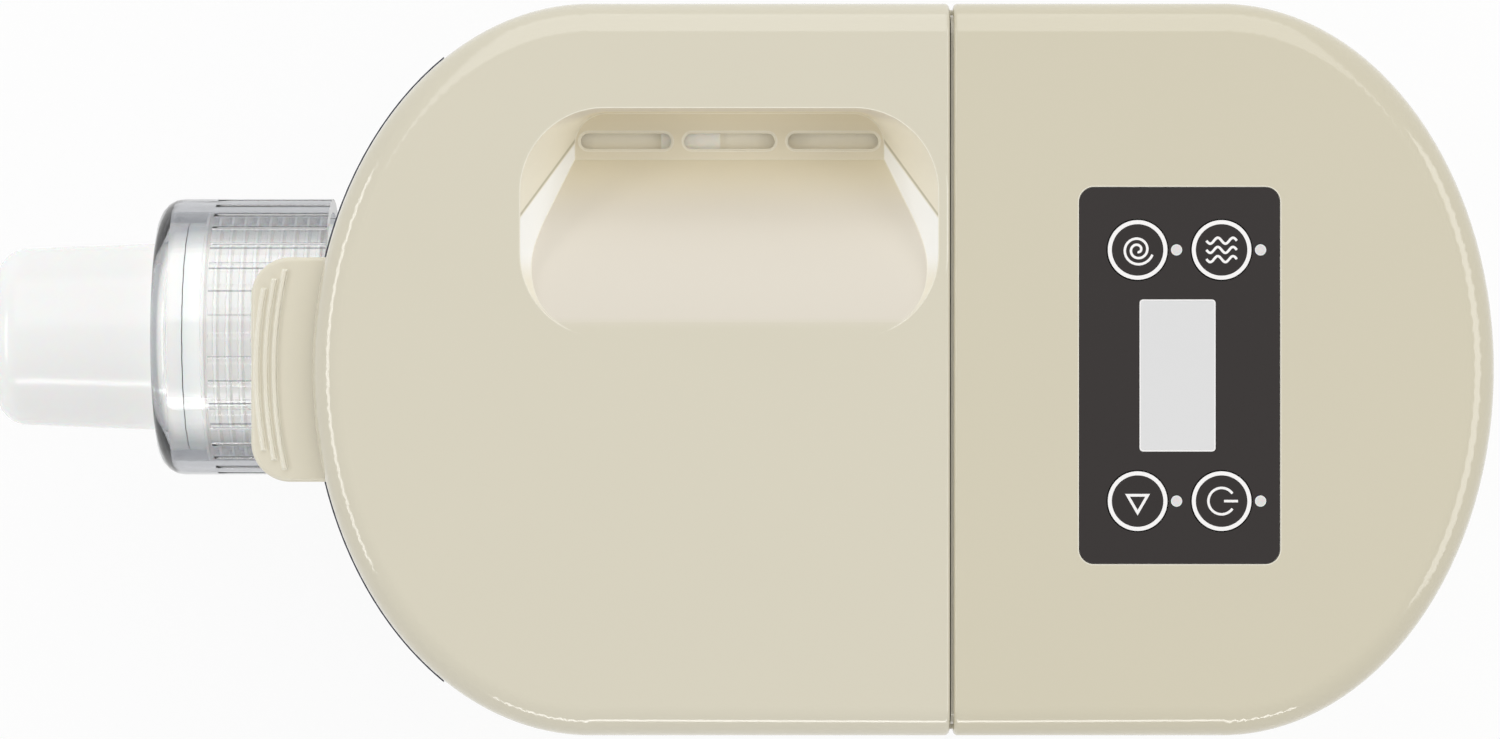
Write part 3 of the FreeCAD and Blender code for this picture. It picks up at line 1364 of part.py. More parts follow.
parts["motor_rotor"] = fuse([armature, commutator, rotor_shaft])
fan_hub = rod(fan_hub_radius, fan_start, fan_end, motor_line)
fan_blade_list = []
for index in range(fan_blade_count):
    blade = box(motor_line.x + fan_hub_radius - past, motor_line.x + fan_radius,
                fan_start + fan_blade_margin, fan_end - fan_blade_margin,
                motor_line.z - fan_blade_thickness / 2, motor_line.z + fan_blade_thickness / 2)
    blade.rotate(V(motor_line.x, 0, motor_line.z), Y_AXIS, 360.0 * index / fan_blade_count)
    fan_blade_list.append(blade)
fan = fuse([fan_hub] + fan_blade_list)
parts["cooling_fan"] = fan.cut(rod(motor_shaft_radius, fan_start - past, fan_end + past, motor_line))

# Inner wires: inlet to power board, board to motor, and board up to the panel
board_rear = power_centre_y + power_board_depth / 2
wires = []
mains_offsets = (-3.0, 3.0)
mains_bend = 3.0
mains_straight = 8.0
mains_lift = 15.0
mains_landing = board_rear - 10.0
for offset in mains_offsets:
    wires.append(wire_run([V(offset, inlet_back, inlet_level),
                           V(offset, inlet_back - mains_straight, inlet_level),
                           V(offset, mains_landing + 2 * mains_bend, board_top + mains_lift),
                           V(offset, mains_landing, board_top + mains_lift),
                           V(offset, mains_landing, board_top)], wire_radius, mains_bend))
motor_offsets = (-9.0, 9.0)
motor_wire_bend = 5.0
motor_wire_straight = 8.0
terminal_drop = 27.0
landing_x = 20.0
landing_inset = 5.0
landing_lift = 34.0
terminal_lift = 40.0
for offset in motor_offsets:
    terminal = V(motor_line.x + offset, cap_end, motor_line.z - terminal_drop)
    landing = V(landing_x + offset, board_rear - landing_inset, board_top)
    above_landing = V(landing.x, landing.y, board_top + landing_lift)
    clear_of_terminal = terminal + V(0, motor_wire_straight, 0)
    below_terminal = V(terminal.x, clear_of_terminal.y, board_top + terminal_lift)
    wires.append(wire_run([terminal, clear_of_terminal, below_terminal, above_landing, landing],
                          wire_radius, motor_wire_bend))
panel_wire_count = 4
panel_wire_x = 32.0
panel_wire_bend = 20.0
panel_wire_low = 80.0
panel_wire_middle = board_level - 72.0
panel_wire_high = board_level - 26.0
panel_wire_swing = 4.0
panel_wire_shift = 1.0
panel_wire_back = 6.0
for index in range(panel_wire_count):
    wire_x = panel_wire_x + index * wire_pitch
    swing_x = wire_x + panel_wire_swing
    end_x = wire_x + panel_wire_shift
    end_y = power_centre_y - panel_wire_back
    wires.append(wire_run([V(wire_x, power_centre_y, board_top), V(wire_x, power_centre_y, panel_wire_low),
                           V(swing_x, power_centre_y - panel_wire_swing, panel_wire_middle),
                           V(end_x, end_y, panel_wire_high), V(end_x, end_y, board_level - board_thickness)],
                          wire_radius, panel_wire_bend))
parts["wire_harness"] = group(wires)

os.makedirs("parts", exist_ok=True)
for name, shape in parts.items():
    shape.exportStep("parts/" + name + ".step")
    bounds = shape.BoundBox
    print(name, len(shape.Solids), shape.isValid(), round(shape.Volume / 1000, 2), "cm3",
          [round(value, 1) for value in (bounds.XMin, bounds.XMax, bounds.YMin, bounds.YMax,
                                         bounds.ZMin, bounds.ZMax)])
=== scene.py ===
import math

import bpy
import numpy as np
from mathutils import Matrix, Vector


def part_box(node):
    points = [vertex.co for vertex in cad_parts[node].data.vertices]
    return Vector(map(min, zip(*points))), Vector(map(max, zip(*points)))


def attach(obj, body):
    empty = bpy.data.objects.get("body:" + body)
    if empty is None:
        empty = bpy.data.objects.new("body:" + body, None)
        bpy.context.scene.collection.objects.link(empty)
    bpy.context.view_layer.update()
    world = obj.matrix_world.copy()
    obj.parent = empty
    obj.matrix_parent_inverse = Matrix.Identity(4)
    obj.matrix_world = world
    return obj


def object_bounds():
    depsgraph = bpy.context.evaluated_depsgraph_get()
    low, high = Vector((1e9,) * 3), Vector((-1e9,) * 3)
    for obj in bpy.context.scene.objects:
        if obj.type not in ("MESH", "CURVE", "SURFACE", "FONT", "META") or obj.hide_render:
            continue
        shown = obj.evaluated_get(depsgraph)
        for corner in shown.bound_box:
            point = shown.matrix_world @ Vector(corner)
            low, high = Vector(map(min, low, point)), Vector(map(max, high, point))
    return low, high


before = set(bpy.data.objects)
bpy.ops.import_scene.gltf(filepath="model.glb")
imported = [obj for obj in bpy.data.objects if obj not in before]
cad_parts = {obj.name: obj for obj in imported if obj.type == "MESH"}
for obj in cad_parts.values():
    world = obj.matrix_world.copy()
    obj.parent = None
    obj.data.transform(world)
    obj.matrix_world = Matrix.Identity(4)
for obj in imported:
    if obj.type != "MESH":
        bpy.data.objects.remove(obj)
cad_low, cad_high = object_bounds()

# Studio
# The machine stands on a plain white table and is seen from straight above. The picture's
# right is the machine's rear and the picture's top is its left side. Soft boxes light it.
MM = 0.001
white = (1, 1, 1, 1)
scene = bpy.context.scene
scene.view_settings.view_transform = "Standard"
lid_top = cad_high.z
camera_height = 1378 * MM
picture_width_at_lid = 375 * MM
picture_centre_y = 9.5 * MM
farther_than_the_table = 20.0
camera_data = bpy.data.cameras.new("overhead_camera")
camera_data.sensor_width = 36.0
camera_data.lens = camera_data.sensor_width * camera_height / picture_width_at_lid
camera_data.clip_end = farther_than_the_table
camera = bpy.data.objects.new("overhead_camera", camera_data)
camera.location = (0, picture_centre_y, lid_top + camera_height)
camera.rotation_euler = (0, 0, math.pi / 2)
scene.collection.objects.link(camera)
scene.camera = camera


def add(tree, kind, settings=None, **sockets):
    # A shader node with its properties and socket values set; a socket may also be linked.
    # Sockets that share a name are given by their place instead, as in i6 for the seventh.
    made = tree.nodes.new(kind)
    for key, value in (settings or {}).items():
        setattr(made, key, value)
    for key, value in sockets.items():
        by_place = key[0] == "i" and key[1:].isdigit()
        socket = made.inputs[int(key[1:]) if by_place else key.replace("_", " ")]
        if isinstance(value, bpy.types.NodeSocket):
            tree.links.new(value, socket)
        else:
            socket.default_value = value
    return made


def maths(tree, operation, first, second=0.0):
    return add(tree, "ShaderNodeMath", {"operation": operation}, i0=first, i1=second).outputs[0]


def blend_values(tree, share, under, over):
    # The first value where the share is 0, the second where it is 1.
    return add(tree, "ShaderNodeMix", {"data_type": "FLOAT"}, i0=share, i2=under, i3=over).outputs[0]


def backdrop_share(tree):
    # 1 for the rays that show the white backdrop: straight to it, through a clear piece, or
    # mirrored in a gloss. The other rays are the ones that light the machine.
    rays = add(tree, "ShaderNodeLightPath")
    seen = maths(tree, "MAXIMUM", rays.outputs["Is Camera Ray"], rays.outputs["Is Transmission Ray"])
    return maths(tree, "MAXIMUM", seen, rays.outputs["Is Glossy Ray"])


def blank_material(name):
    material = bpy.data.materials.new(name)
    material.use_nodes = True
    material.node_tree.nodes.clear()
    return material


def table_material():
    # White laminate with a faint mottle. Seen directly it reads as the white backdrop, and
    # a tenth of its own shade stays, so that the machine's shadow shows.
    glow_share = 0.9
    material = blank_material("white_table")
    tree = material.node_tree
    place = add(tree, "ShaderNodeTexCoord")
    mottle = add(tree, "ShaderNodeTexNoise", Vector=place.outputs["Object"], Scale=9.0, Detail=3.0)
    shade = add(tree, "ShaderNodeMapRange", Value=mottle.outputs["Fac"], To_Min=0.86, To_Max=0.90).outputs[0]
    paint = add(tree, "ShaderNodeCombineColor", Red=shade, Green=shade, Blue=shade)
    matte = add(tree, "ShaderNodeBsdfDiffuse", Color=paint.outputs[0])
    glow = add(tree, "ShaderNodeEmission", Color=white, Strength=1.0)
    share = maths(tree, "MULTIPLY", backdrop_share(tree), glow_share)
    mixed = add(tree, "ShaderNodeMixShader", Fac=share, i1=matte.outputs[0], i2=glow.outputs[0])
    add(tree, "ShaderNodeOutputMaterial", Surface=mixed.outputs[0])
    return material


table_half = 4.0
table_mesh = bpy.data.meshes.new("table_top")
table_mesh.from_pydata([(-table_half, -table_half, 0), (table_half, -table_half, 0),
                        (table_half, table_half, 0), (-table_half, table_half, 0)], [], [(0, 1, 2, 3)])
table = bpy.data.objects.new("table_top", table_mesh)
scene.collection.objects.link(table)
table.data.materials.append(table_material())

world = bpy.data.worlds.new("pale_room")
scene.world = world
world.use_nodes = True
room_tree = world.node_tree
room_tree.nodes.clear()
sky = add(room_tree, "ShaderNodeTexCoord")
sky_parts = add(room_tree, "ShaderNodeSeparateXYZ", Vector=sky.outputs["Generated"])
sky_light = add(room_tree, "ShaderNodeMapRange", {"interpolation_type": "SMOOTHSTEP"},
                Value=sky_parts.outputs["Z"], From_Min=-0.05, From_Max=0.55, To_Min=0.42, To_Max=0.52)
room_strength = blend_values(room_tree, backdrop_share(room_tree), sky_light.outputs[0], 1.0)
room = add(room_tree, "ShaderNodeBackground", Color=white, Strength=room_strength)
add(room_tree, "ShaderNodeOutputWorld", Surface=room.outputs[0])

lamp_distance = 1.8


def soft_box(name, turn, rise, width, height, watts):
    # A rectangular lamp aimed at the machine. The turn is in degrees from the machine's front
    # towards its +X side, and the rise in degrees above the table.
    data = bpy.data.lights.new(name, "AREA")
    data.shape = "RECTANGLE"
    data.size = width
    data.size_y = height
    data.energy = watts
    lamp = bpy.data.objects.new(name, data)
    turn, rise = math.radians(turn), math.radians(rise)
    away = Vector((math.sin(turn) * math.cos(rise), -math.cos(turn) * math.cos(rise), math.sin(rise)))
    lamp.location = Vector((0, 0, lid_top)) + away * lamp_distance
    lamp.rotation_euler = away.to_track_quat("Z", "Y").to_euler()
    scene.collection.objects.link(lamp)


soft_box("front_box", turn=0, rise=30, width=1.6, height=0.3, watts=6.0)
soft_box("rear_box", turn=180, rise=34, width=1.6, height=0.6, watts=7.0)
soft_box("left_box", turn=-90, rise=42, width=2.0, height=2.4, watts=17.5)
soft_box("right_strip", turn=90, rise=26, width=1.8, height=0.22, watts=7.0)

# Moulded finish shared by all plastic pieces
# Injection moulding leaves a slow change of tone where the melt flowed, a fine grain, and
# small differences in gloss. The group gives the tone, the gloss and the grain's height.
grain_depth = 0.02 * MM


def moulded_group():
    noise_middle = 0.5
    group = bpy.data.node_groups.new("moulded_finish", "ShaderNodeTree")
    face = group.interface
    face.new_socket("Colour", in_out="INPUT", socket_type="NodeSocketColor")
    for name, value in (("Tone Spread", 0.02), ("Gloss", 0.25), ("Gloss Spread", 0.05),
                        ("Grain Size", 1 * MM), ("Flow Size", 60 * MM)):
        socket = face.new_socket(name, in_out="INPUT", socket_type="NodeSocketFloat")
        socket.default_value = value
    face.new_socket("Tone", in_out="OUTPUT", socket_type="NodeSocketColor")
    face.new_socket("Roughness", in_out="OUTPUT", socket_type="NodeSocketFloat")
    face.new_socket("Grain", in_out="OUTPUT", socket_type="NodeSocketFloat")
    entry = add(group, "NodeGroupInput")
    place = add(group, "ShaderNodeTexCoord")
    flow_scale = maths(group, "DIVIDE", 1.0, entry.outputs["Flow Size"])
    grain_scale = maths(group, "DIVIDE", 1.0, entry.outputs["Grain Size"])
    flow = add(group, "ShaderNodeTexNoise", Vector=place.outputs["Object"], Scale=flow_scale,
               Detail=2.0, Distortion=0.6)
    grain = add(group, "ShaderNodeTexNoise", Vector=place.outputs["Object"], Scale=grain_scale,
                Detail=3.0, Roughness=0.55)
    swing = maths(group, "SUBTRACT", flow.outputs["Fac"], noise_middle)
    swing = maths(group, "MULTIPLY", swing, entry.outputs["Tone Spread"])
    tone = add(group, "ShaderNodeVectorMath", {"operation": "SCALE"}, i0=entry.outputs["Colour"],
               Scale=maths(group, "ADD", swing, 1.0))
    rub = maths(group, "SUBTRACT", grain.outputs["Fac"], noise_middle)
    rub = maths(group, "MULTIPLY", rub, entry.outputs["Gloss Spread"])
    rough = add(group, "ShaderNodeMath", {"operation": "ADD", "use_clamp": True}, i0=rub,
                i1=entry.outputs["Gloss"])
    add(group, "NodeGroupOutput", Tone=tone.outputs[0], Roughness=rough.outputs[0],
        Grain=grain.outputs["Fac"])
    return group


moulded = moulded_group()


def edge_group():
    # Finds the narrow band along each sharp edge, where a moulding's corner is rounded off
    # and catches the light; the pieces that use it paint a highlight colour there, a painted
    # highlight. The mask grows from 0 to 1 as the corner leans from its face.
    usual_width = 0.55 * MM
    cosine_at_start, cosine_at_full = 0.995, 0.92
    group = bpy.data.node_groups.new("caught_edge", "ShaderNodeTree")
    face = group.interface
    width = face.new_socket("Width", in_out="INPUT", socket_type="NodeSocketFloat")
    width.default_value = usual_width
    face.new_socket("Edge", in_out="OUTPUT", socket_type="NodeSocketFloat")
    entry = add(group, "NodeGroupInput")
    rounded = add(group, "ShaderNodeBevel", {"samples": 6}, Radius=entry.outputs["Width"])
    here = add(group, "ShaderNodeNewGeometry")
    agree = add(group, "ShaderNodeVectorMath", {"operation": "DOT_PRODUCT"}, i0=rounded.outputs[0],
                i1=here.outputs["Normal"])
    band = add(group, "ShaderNodeMapRange", Value=agree.outputs["Value"], From_Min=cosine_at_start,
               From_Max=cosine_at_full)
    add(group, "NodeGroupOutput", Edge=band.outputs[0])
    return group


caught_edge = edge_group()


def srgb(red, green, blue):
    # A colour read in the usual 0 to 255 steps, as the linear colour that a shader takes.
    steps = [value / 255 for value in (red, green, blue)]
    linear = [value / 12.92 if value <= 0.04045 else ((value + 0.055) / 1.055) ** 2.4 for value in steps]
    return (*linear, 1.0)


def blend_colours(tree, share, under, over):
    # The first colour where the share is 0, the second where it is 1.
    return add(tree, "ShaderNodeMix", {"data_type": "RGBA"}, i0=share, i6=under, i7=over).outputs[2]


def plastic(name, colour, gloss, grain_mm, spread=0.02, gloss_spread=0.05, relief=0.1, edge_highlight=None,
            **shine):
    # A moulded plastic; the edge highlight, if given, is a painted highlight colour along sharp
    # edges. Extra arguments go straight to the surface shader's sockets.
    material = blank_material(name)
    tree = material.node_tree
    finish = add(tree, "ShaderNodeGroup", {"node_tree": moulded}, Colour=colour, Tone_Spread=spread,
                 Gloss=gloss, Gloss_Spread=gloss_spread, Grain_Size=grain_mm * MM)
    tone = finish.outputs["Tone"]
    if edge_highlight:
        edge = add(tree, "ShaderNodeGroup", {"node_tree": caught_edge})
        tone = blend_colours(tree, edge.outputs["Edge"], tone, edge_highlight)
    bump = add(tree, "ShaderNodeBump", Strength=relief, Distance=grain_depth, Height=finish.outputs["Grain"])
    surface = add(tree, "ShaderNodeBsdfPrincipled", Base_Color=tone,
                  Roughness=finish.outputs["Roughness"], Normal=bump.outputs[0], **shine)
    add(tree, "ShaderNodeOutputMaterial", Surface=surface.outputs[0])
    return material


def smooth_normals(piece, limit_degrees=32.0):
    # Shades a meshed solid as its true curved faces: corners at one point share a normal
    # where their faces meet at less than the limit. The points themselves don't move.
    steps_per_metre = 1e6
    nothing = 1e-12
    mesh = piece.data
    loop_count = len(mesh.loops)
    loop_vertex = np.empty(loop_count, np.int32)
    mesh.loops.foreach_get("vertex_index", loop_vertex)
    points = np.empty(len(mesh.vertices) * 3, np.float64)
    mesh.vertices.foreach_get("co", points)
    points = np.round(points.reshape(-1, 3)[loop_vertex] * steps_per_metre).astype(np.int64)
    normals = np.empty(len(mesh.polygons) * 3, np.float64)
    mesh.polygons.foreach_get("normal", normals)
    areas = np.empty(len(mesh.polygons), np.float64)
    mesh.polygons.foreach_get("area", areas)
    totals = np.empty(len(mesh.polygons), np.int32)
    mesh.polygons.foreach_get("loop_total", totals)
    face_of_loop = np.repeat(np.arange(len(mesh.polygons)), totals)
    flat = normals.reshape(-1, 3)[face_of_loop]
    weight = areas[face_of_loop][:, None]
    order = np.lexsort(points.T)
    keys = points[order]
    unit = flat[order]
    heavy = unit * weight[order]
    total = heavy.copy()
    least = math.cos(math.radians(limit_degrees))
    shift = 1
    while shift < loop_count:
        same = (keys[shift:] == keys[:-shift]).all(axis=1)
        if not same.any():
            break
        near = same & ((unit[shift:] * unit[:-shift]).sum(axis=1) > least)
        total[shift:][near] += heavy[:-shift][near]
        total[:-shift][near] += heavy[shift:][near]
        shift += 1
    length = np.linalg.norm(total, axis=1)
    total = np.where(length[:, None] > nothing, total / np.maximum(length, nothing)[:, None], unit)
    smooth = np.empty_like(total)
    smooth[order] = total
    mesh.shade_smooth()
    mesh.normals_split_custom_set(smooth.tolist())


def dress(material, *nodes):
    # Gives the solids their finish; their meshes stay as they are.
    for name in nodes:
        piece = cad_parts[name]
        piece.data.materials.clear()
        piece.data.materials.append(material)
        smooth_normals(piece)


# Base plate, feet and steel fasteners
# The base is a black moulded plate screwed up into the body, on four round rubber feet.
# The screws are zinc plated steel.


def metal(name, colour, gloss, grain_mm, stretch=(1.0, 1.0, 1.0)):
    # Turned or plated metal: fine streaks in the gloss, along the axis with the least scale.
    material = blank_material(name)
    tree = material.node_tree
    place = add(tree, "ShaderNodeTexCoord")
    along = add(tree, "ShaderNodeMapping", Vector=place.outputs["Object"], Scale=stretch)
    streak = add(tree, "ShaderNodeTexNoise", Vector=along.outputs[0], Scale=1 / (grain_mm * MM), Detail=4.0)
    rough = add(tree, "ShaderNodeMapRange", Value=streak.outputs["Fac"], To_Min=gloss - 0.08,
                To_Max=gloss + 0.1)
    tone = add(tree, "ShaderNodeMapRange", Value=streak.outputs["Fac"], To_Min=0.9, To_Max=1.08)
    tint = add(tree, "ShaderNodeVectorMath", {"operation": "SCALE"}, i0=colour[:3], Scale=tone.outputs[0])
    bump = add(tree, "ShaderNodeBump", Strength=0.15, Distance=grain_depth, Height=streak.outputs["Fac"])
    surface = add(tree, "ShaderNodeBsdfPrincipled", Base_Color=tint.outputs[0], Metallic=1.0,
                  Roughness=rough.outputs[0], Normal=bump.outputs[0])
    add(tree, "ShaderNodeOutputMaterial", Surface=surface.outputs[0])
    return material


black_plastic = plastic("black_moulding", srgb(38, 38, 40), gloss=0.5, grain_mm=0.6, spread=0.1, relief=0.35)
rubber = plastic("foot_rubber", srgb(34, 34, 35), gloss=0.75, grain_mm=0.4, spread=0.15, relief=0.5)
zinc = metal("zinc_plate", srgb(176, 178, 182), gloss=0.32, grain_mm=0.5)
dress(black_plastic, "base_plate")
dress(rubber, "rubber_feet")
dress(zinc, "base_screws", "cover_screws", "board_screws", "gearbox_screws", "motor_screws")

# Main body
# One deep moulding in warm beige gloss plastic holds everything: side wall, deck and the
# bulkhead between the bowl and the motor.
rear_beige = srgb(206, 199, 176)
# A painted highlight colour for the sharp edges of the body, rear cover and lid.
edge_highlight_colour = srgb(246, 242, 228)
body_gloss, body_gloss_spread = 0.11, 0.03
body_grain_mm = 1.1
body_relief = 0.04
coat_weight, coat_roughness = 0.5, 0.06
body_finish = plastic("rear_beige_gloss", rear_beige, gloss=body_gloss, grain_mm=body_grain_mm, spread=0.02,
                      gloss_spread=body_gloss_spread, relief=body_relief, edge_highlight=edge_highlight_colour,
                      Coat_Weight=coat_weight, Coat_Roughness=coat_roughness)
dress(body_finish, "main_body")

# Power inlet
# A black socket snapped into the rear wall, with three plated pins.
dress(black_plastic, "power_inlet")
dress(metal("plated_brass", srgb(214, 190, 130), gloss=0.25, grain_mm=0.4), "inlet_pins")

# Boards, wires and motor
# Both boards are green glass-fibre laminate. The motor is a zinc plated can with ferrite
# magnets, held on a grey gearbox with moulded gears on steel and bronze.
laminate = plastic("green_laminate", srgb(38, 98, 62), gloss=0.35, grain_mm=0.5, spread=0.25, relief=0.3)
component_black = plastic("component_resin", srgb(30, 30, 32), gloss=0.45, grain_mm=0.3, spread=0.1,
                          relief=0.3)
grey_moulding = plastic("grey_moulding", srgb(120, 122, 124), gloss=0.5, grain_mm=0.7, spread=0.06,
                        relief=0.3)
gear_moulding = plastic("gear_moulding", srgb(232, 228, 214), gloss=0.4, grain_mm=0.6, spread=0.04,
                        relief=0.2)
ferrite = plastic("ferrite", srgb(58, 58, 60), gloss=0.65, grain_mm=0.3, spread=0.2, relief=0.5)
wire_skin = plastic("wire_insulation", srgb(170, 46, 38), gloss=0.4, grain_mm=0.5, spread=0.05, relief=0.1)
turned_steel = metal("turned_steel", srgb(186, 187, 190), gloss=0.28, grain_mm=0.35, stretch=(1.0, 6.0, 1.0))
bronze = metal("sintered_bronze", srgb(176, 134, 80), gloss=0.42, grain_mm=0.25)
can_plate = metal("motor_can_plate", srgb(150, 152, 156), gloss=0.38, grain_mm=0.8)
dress(laminate, "power_board", "control_board")
dress(component_black, "power_components", "tact_switches", "lid_sensor")
dress(grey_moulding, "gearbox_housing", "gearbox_cover", "display_module")
dress(gear_moulding, "output_gear", "idler_gear")
dress(ferrite, "motor_magnets", "lid_magnet")
dress(wire_skin, "wire_harness")
dress(turned_steel, "drive_shaft", "idler_pin", "motor_pinion", "latch_pin", "motor_rotor")
dress(bronze, "front_bush", "rear_bush")
dress(can_plate, "motor_can")
dress(black_plastic, "motor_end_cap", "cooling_fan")

# Bowl, paddle, auger and seals
# The bowl is a satin grey food-grade moulding. Paddle and auger are off-white and slip on
# the six sided shaft. The seals are pale silicone.
bowl_finish = plastic("bowl_satin", srgb(205, 208, 212), gloss=0.32, grain_mm=0.8, spread=0.03, relief=0.15)
food_white = plastic("food_white_matte", srgb(236, 235, 230), gloss=0.42, grain_mm=0.5, spread=0.03,
                     relief=0.2)
silicone_depth = 2 * MM
silicone = plastic("pale_silicone", srgb(206, 207, 209), gloss=0.6, grain_mm=0.4, spread=0.04, relief=0.25,
                   Subsurface_Weight=0.2, Subsurface_Scale=silicone_depth)
dress(bowl_finish, "mixing_bowl")
dress(food_white, "kneading_paddle", "extrusion_auger")
dress(silicone, "shaft_seal", "barrel_seal", "lid_seal")

# Barrel, die and clear nut
# White glossy barrel and die; the nut that clamps the die is clear moulded plastic.
snout_white = plastic("snout_white_gloss", srgb(250, 250, 248), gloss=0.16, grain_mm=0.9, spread=0.015,
                      relief=0.04, Subsurface_Weight=0.25, Subsurface_Scale=4 * MM)
dress(snout_white, "extrusion_barrel", "pasta_die", "noodle_disc")


def ramp(tree, value, start, end):
    # A soft step from 0 at the start to 1 at the end.
    return add(tree, "ShaderNodeMapRange", {"interpolation_type": "SMOOTHSTEP"}, Value=value,
               From_Min=start, From_Max=end).outputs[0]


def clear_material():
    # Clear polymer with faint flow lines and a fine rub on its surface. It is greyer where the
    # light passes along the wall and not straight through it.
    wall_grey = srgb(140, 143, 149)
    graze_start, graze_end = 0.18, 0.38
    material = blank_material("clear_polymer")
    tree = material.node_tree
    place = add(tree, "ShaderNodeTexCoord")
    flow = add(tree, "ShaderNodeTexNoise", Vector=place.outputs["Object"], Scale=90.0, Detail=2.0,
               Distortion=0.8)
    rub = add(tree, "ShaderNodeTexNoise", Vector=place.outputs["Object"], Scale=900.0, Detail=3.0)
    rough = add(tree, "ShaderNodeMapRange", Value=rub.outputs["Fac"], To_Min=0.01, To_Max=0.07)
    bump = add(tree, "ShaderNodeBump", Strength=0.06, Distance=0.1 * MM, Height=flow.outputs["Fac"])
    graze = add(tree, "ShaderNodeLayerWeight", Blend=0.5)
    along_wall = ramp(tree, graze.outputs["Facing"], graze_start, graze_end)
    tint = blend_colours(tree, along_wall, white, wall_grey)
    surface = add(tree, "ShaderNodeBsdfPrincipled", Base_Color=tint, Roughness=rough.outputs[0],
                  Normal=bump.outputs[0], Transmission_Weight=1.0, IOR=1.49)
    rays = add(tree, "ShaderNodeLightPath")
    light_ray = maths(tree, "MAXIMUM", rays.outputs["Is Shadow Ray"], rays.outputs["Is Diffuse Ray"])
    passed = add(tree, "ShaderNodeBsdfTransparent", Color=white)
    mixed = add(tree, "ShaderNodeMixShader", Fac=light_ray, i1=surface.outputs[0], i2=passed.outputs[0])
    add(tree, "ShaderNodeOutputMaterial", Surface=mixed.outputs[0])
    return material


dress(clear_material(), "clamp_nut")

# Front fascia
# A blue-black gloss skin clipped round the front of the body, just proud of the lid.
fascia_finish = plastic("blue_black_gloss", srgb(44, 48, 62), gloss=0.12, grain_mm=1.0, spread=0.05,
                        relief=0.04)
dress(fascia_finish, "front_fascia")

# Lid
# A beige gloss moulding, a shade lighter than the rear cover, with the water scoop and its
# three slots formed in it. The scoop is satin inside. Its inside, deep end, end walls and
# channel are painted paler to lift their shade, and its two end walls carry a painted
# highlight with a painted shade line along the highlight's edge.
lid_beige = srgb(211, 205, 185)
satin_roughness = 0.5
scoop_low, scoop_high = -65.4 * MM, -8.0 * MM
scoop_middle = 4.3 * MM
scoop_half_length = 53.0 * MM
end_blend, low_blend, high_blend = 0.2 * MM, 1 * MM, 3 * MM
lean_start, lean_end = 0.35, 0.7
# Where the painted highlight on the scoop's end walls begins, along a slanted edge line.
highlight_edge_x, highlight_edge_y, highlight_edge_slope = -57 * MM, 40 * MM, -1.5
highlight_start_x, highlight_end_x = -21 * MM, -30 * MM
lid_finish = blank_material("lid_beige_gloss")
lid_tree = lid_finish.node_tree
lid_base = add(lid_tree, "ShaderNodeGroup", {"node_tree": moulded}, Colour=lid_beige, Tone_Spread=0.02,
               Gloss=body_gloss, Gloss_Spread=body_gloss_spread, Grain_Size=body_grain_mm * MM)
lid_edge = add(lid_tree, "ShaderNodeGroup", {"node_tree": caught_edge})
lid_place = add(lid_tree, "ShaderNodeTexCoord")
lid_spot = add(lid_tree, "ShaderNodeSeparateXYZ", Vector=lid_place.outputs["Object"])
lid_facing = add(lid_tree, "ShaderNodeSeparateXYZ", Vector=lid_place.outputs["Normal"])
lid_x, lid_y, lid_z = (lid_spot.outputs[axis] for axis in "XYZ")

from_middle = maths(lid_tree, "ABSOLUTE", maths(lid_tree, "SUBTRACT", lid_y, scoop_middle))
in_scoop = maths(lid_tree, "MULTIPLY",
                 ramp(lid_tree, from_middle, scoop_half_length, scoop_half_length - end_blend),
                 ramp(lid_tree, lid_x, scoop_high, scoop_high - high_blend))
in_scoop = maths(lid_tree, "MULTIPLY", in_scoop, ramp(lid_tree, lid_x, scoop_low - low_blend, scoop_low))


def scoop_below(start, end):
    # Inside the scoop only: 0 at the first depth under the lid's top, 1 at the second.
    return maths(lid_tree, "MULTIPLY", in_scoop, ramp(lid_tree, lid_z, lid_top - start, lid_top - end))


inside = scoop_below(0.02 * MM, 0.3 * MM)
deep = scoop_below(10 * MM, 21 * MM)
channel = scoop_below(22.2 * MM, 22.8 * MM)
lean = maths(lid_tree, "ABSOLUTE", lid_facing.outputs["Y"])
end_wall = maths(lid_tree, "MULTIPLY", in_scoop, ramp(lid_tree, lean, lean_start, lean_end))
slant = maths(lid_tree, "MULTIPLY", maths(lid_tree, "SUBTRACT", from_middle, highlight_edge_y), highlight_edge_slope)
past_highlight_edge = maths(lid_tree, "ADD", maths(lid_tree, "SUBTRACT", lid_x, highlight_edge_x), slant)
# A painted highlight, near white, on the end walls past the highlight's edge line.
scoop_painted_highlight = maths(lid_tree, "MULTIPLY", end_wall, ramp(lid_tree, past_highlight_edge, 0.2 * MM, 1.2 * MM))
scoop_painted_highlight = maths(lid_tree, "MULTIPLY", scoop_painted_highlight, ramp(lid_tree, lid_x, highlight_start_x, highlight_end_x))
# A thin painted shade line along the edge of the painted highlight.
off_highlight_edge = maths(lid_tree, "ABSOLUTE", past_highlight_edge)
painted_shade_line = maths(lid_tree, "MULTIPLY", end_wall, ramp(lid_tree, off_highlight_edge, 0.7 * MM, 0.1 * MM))

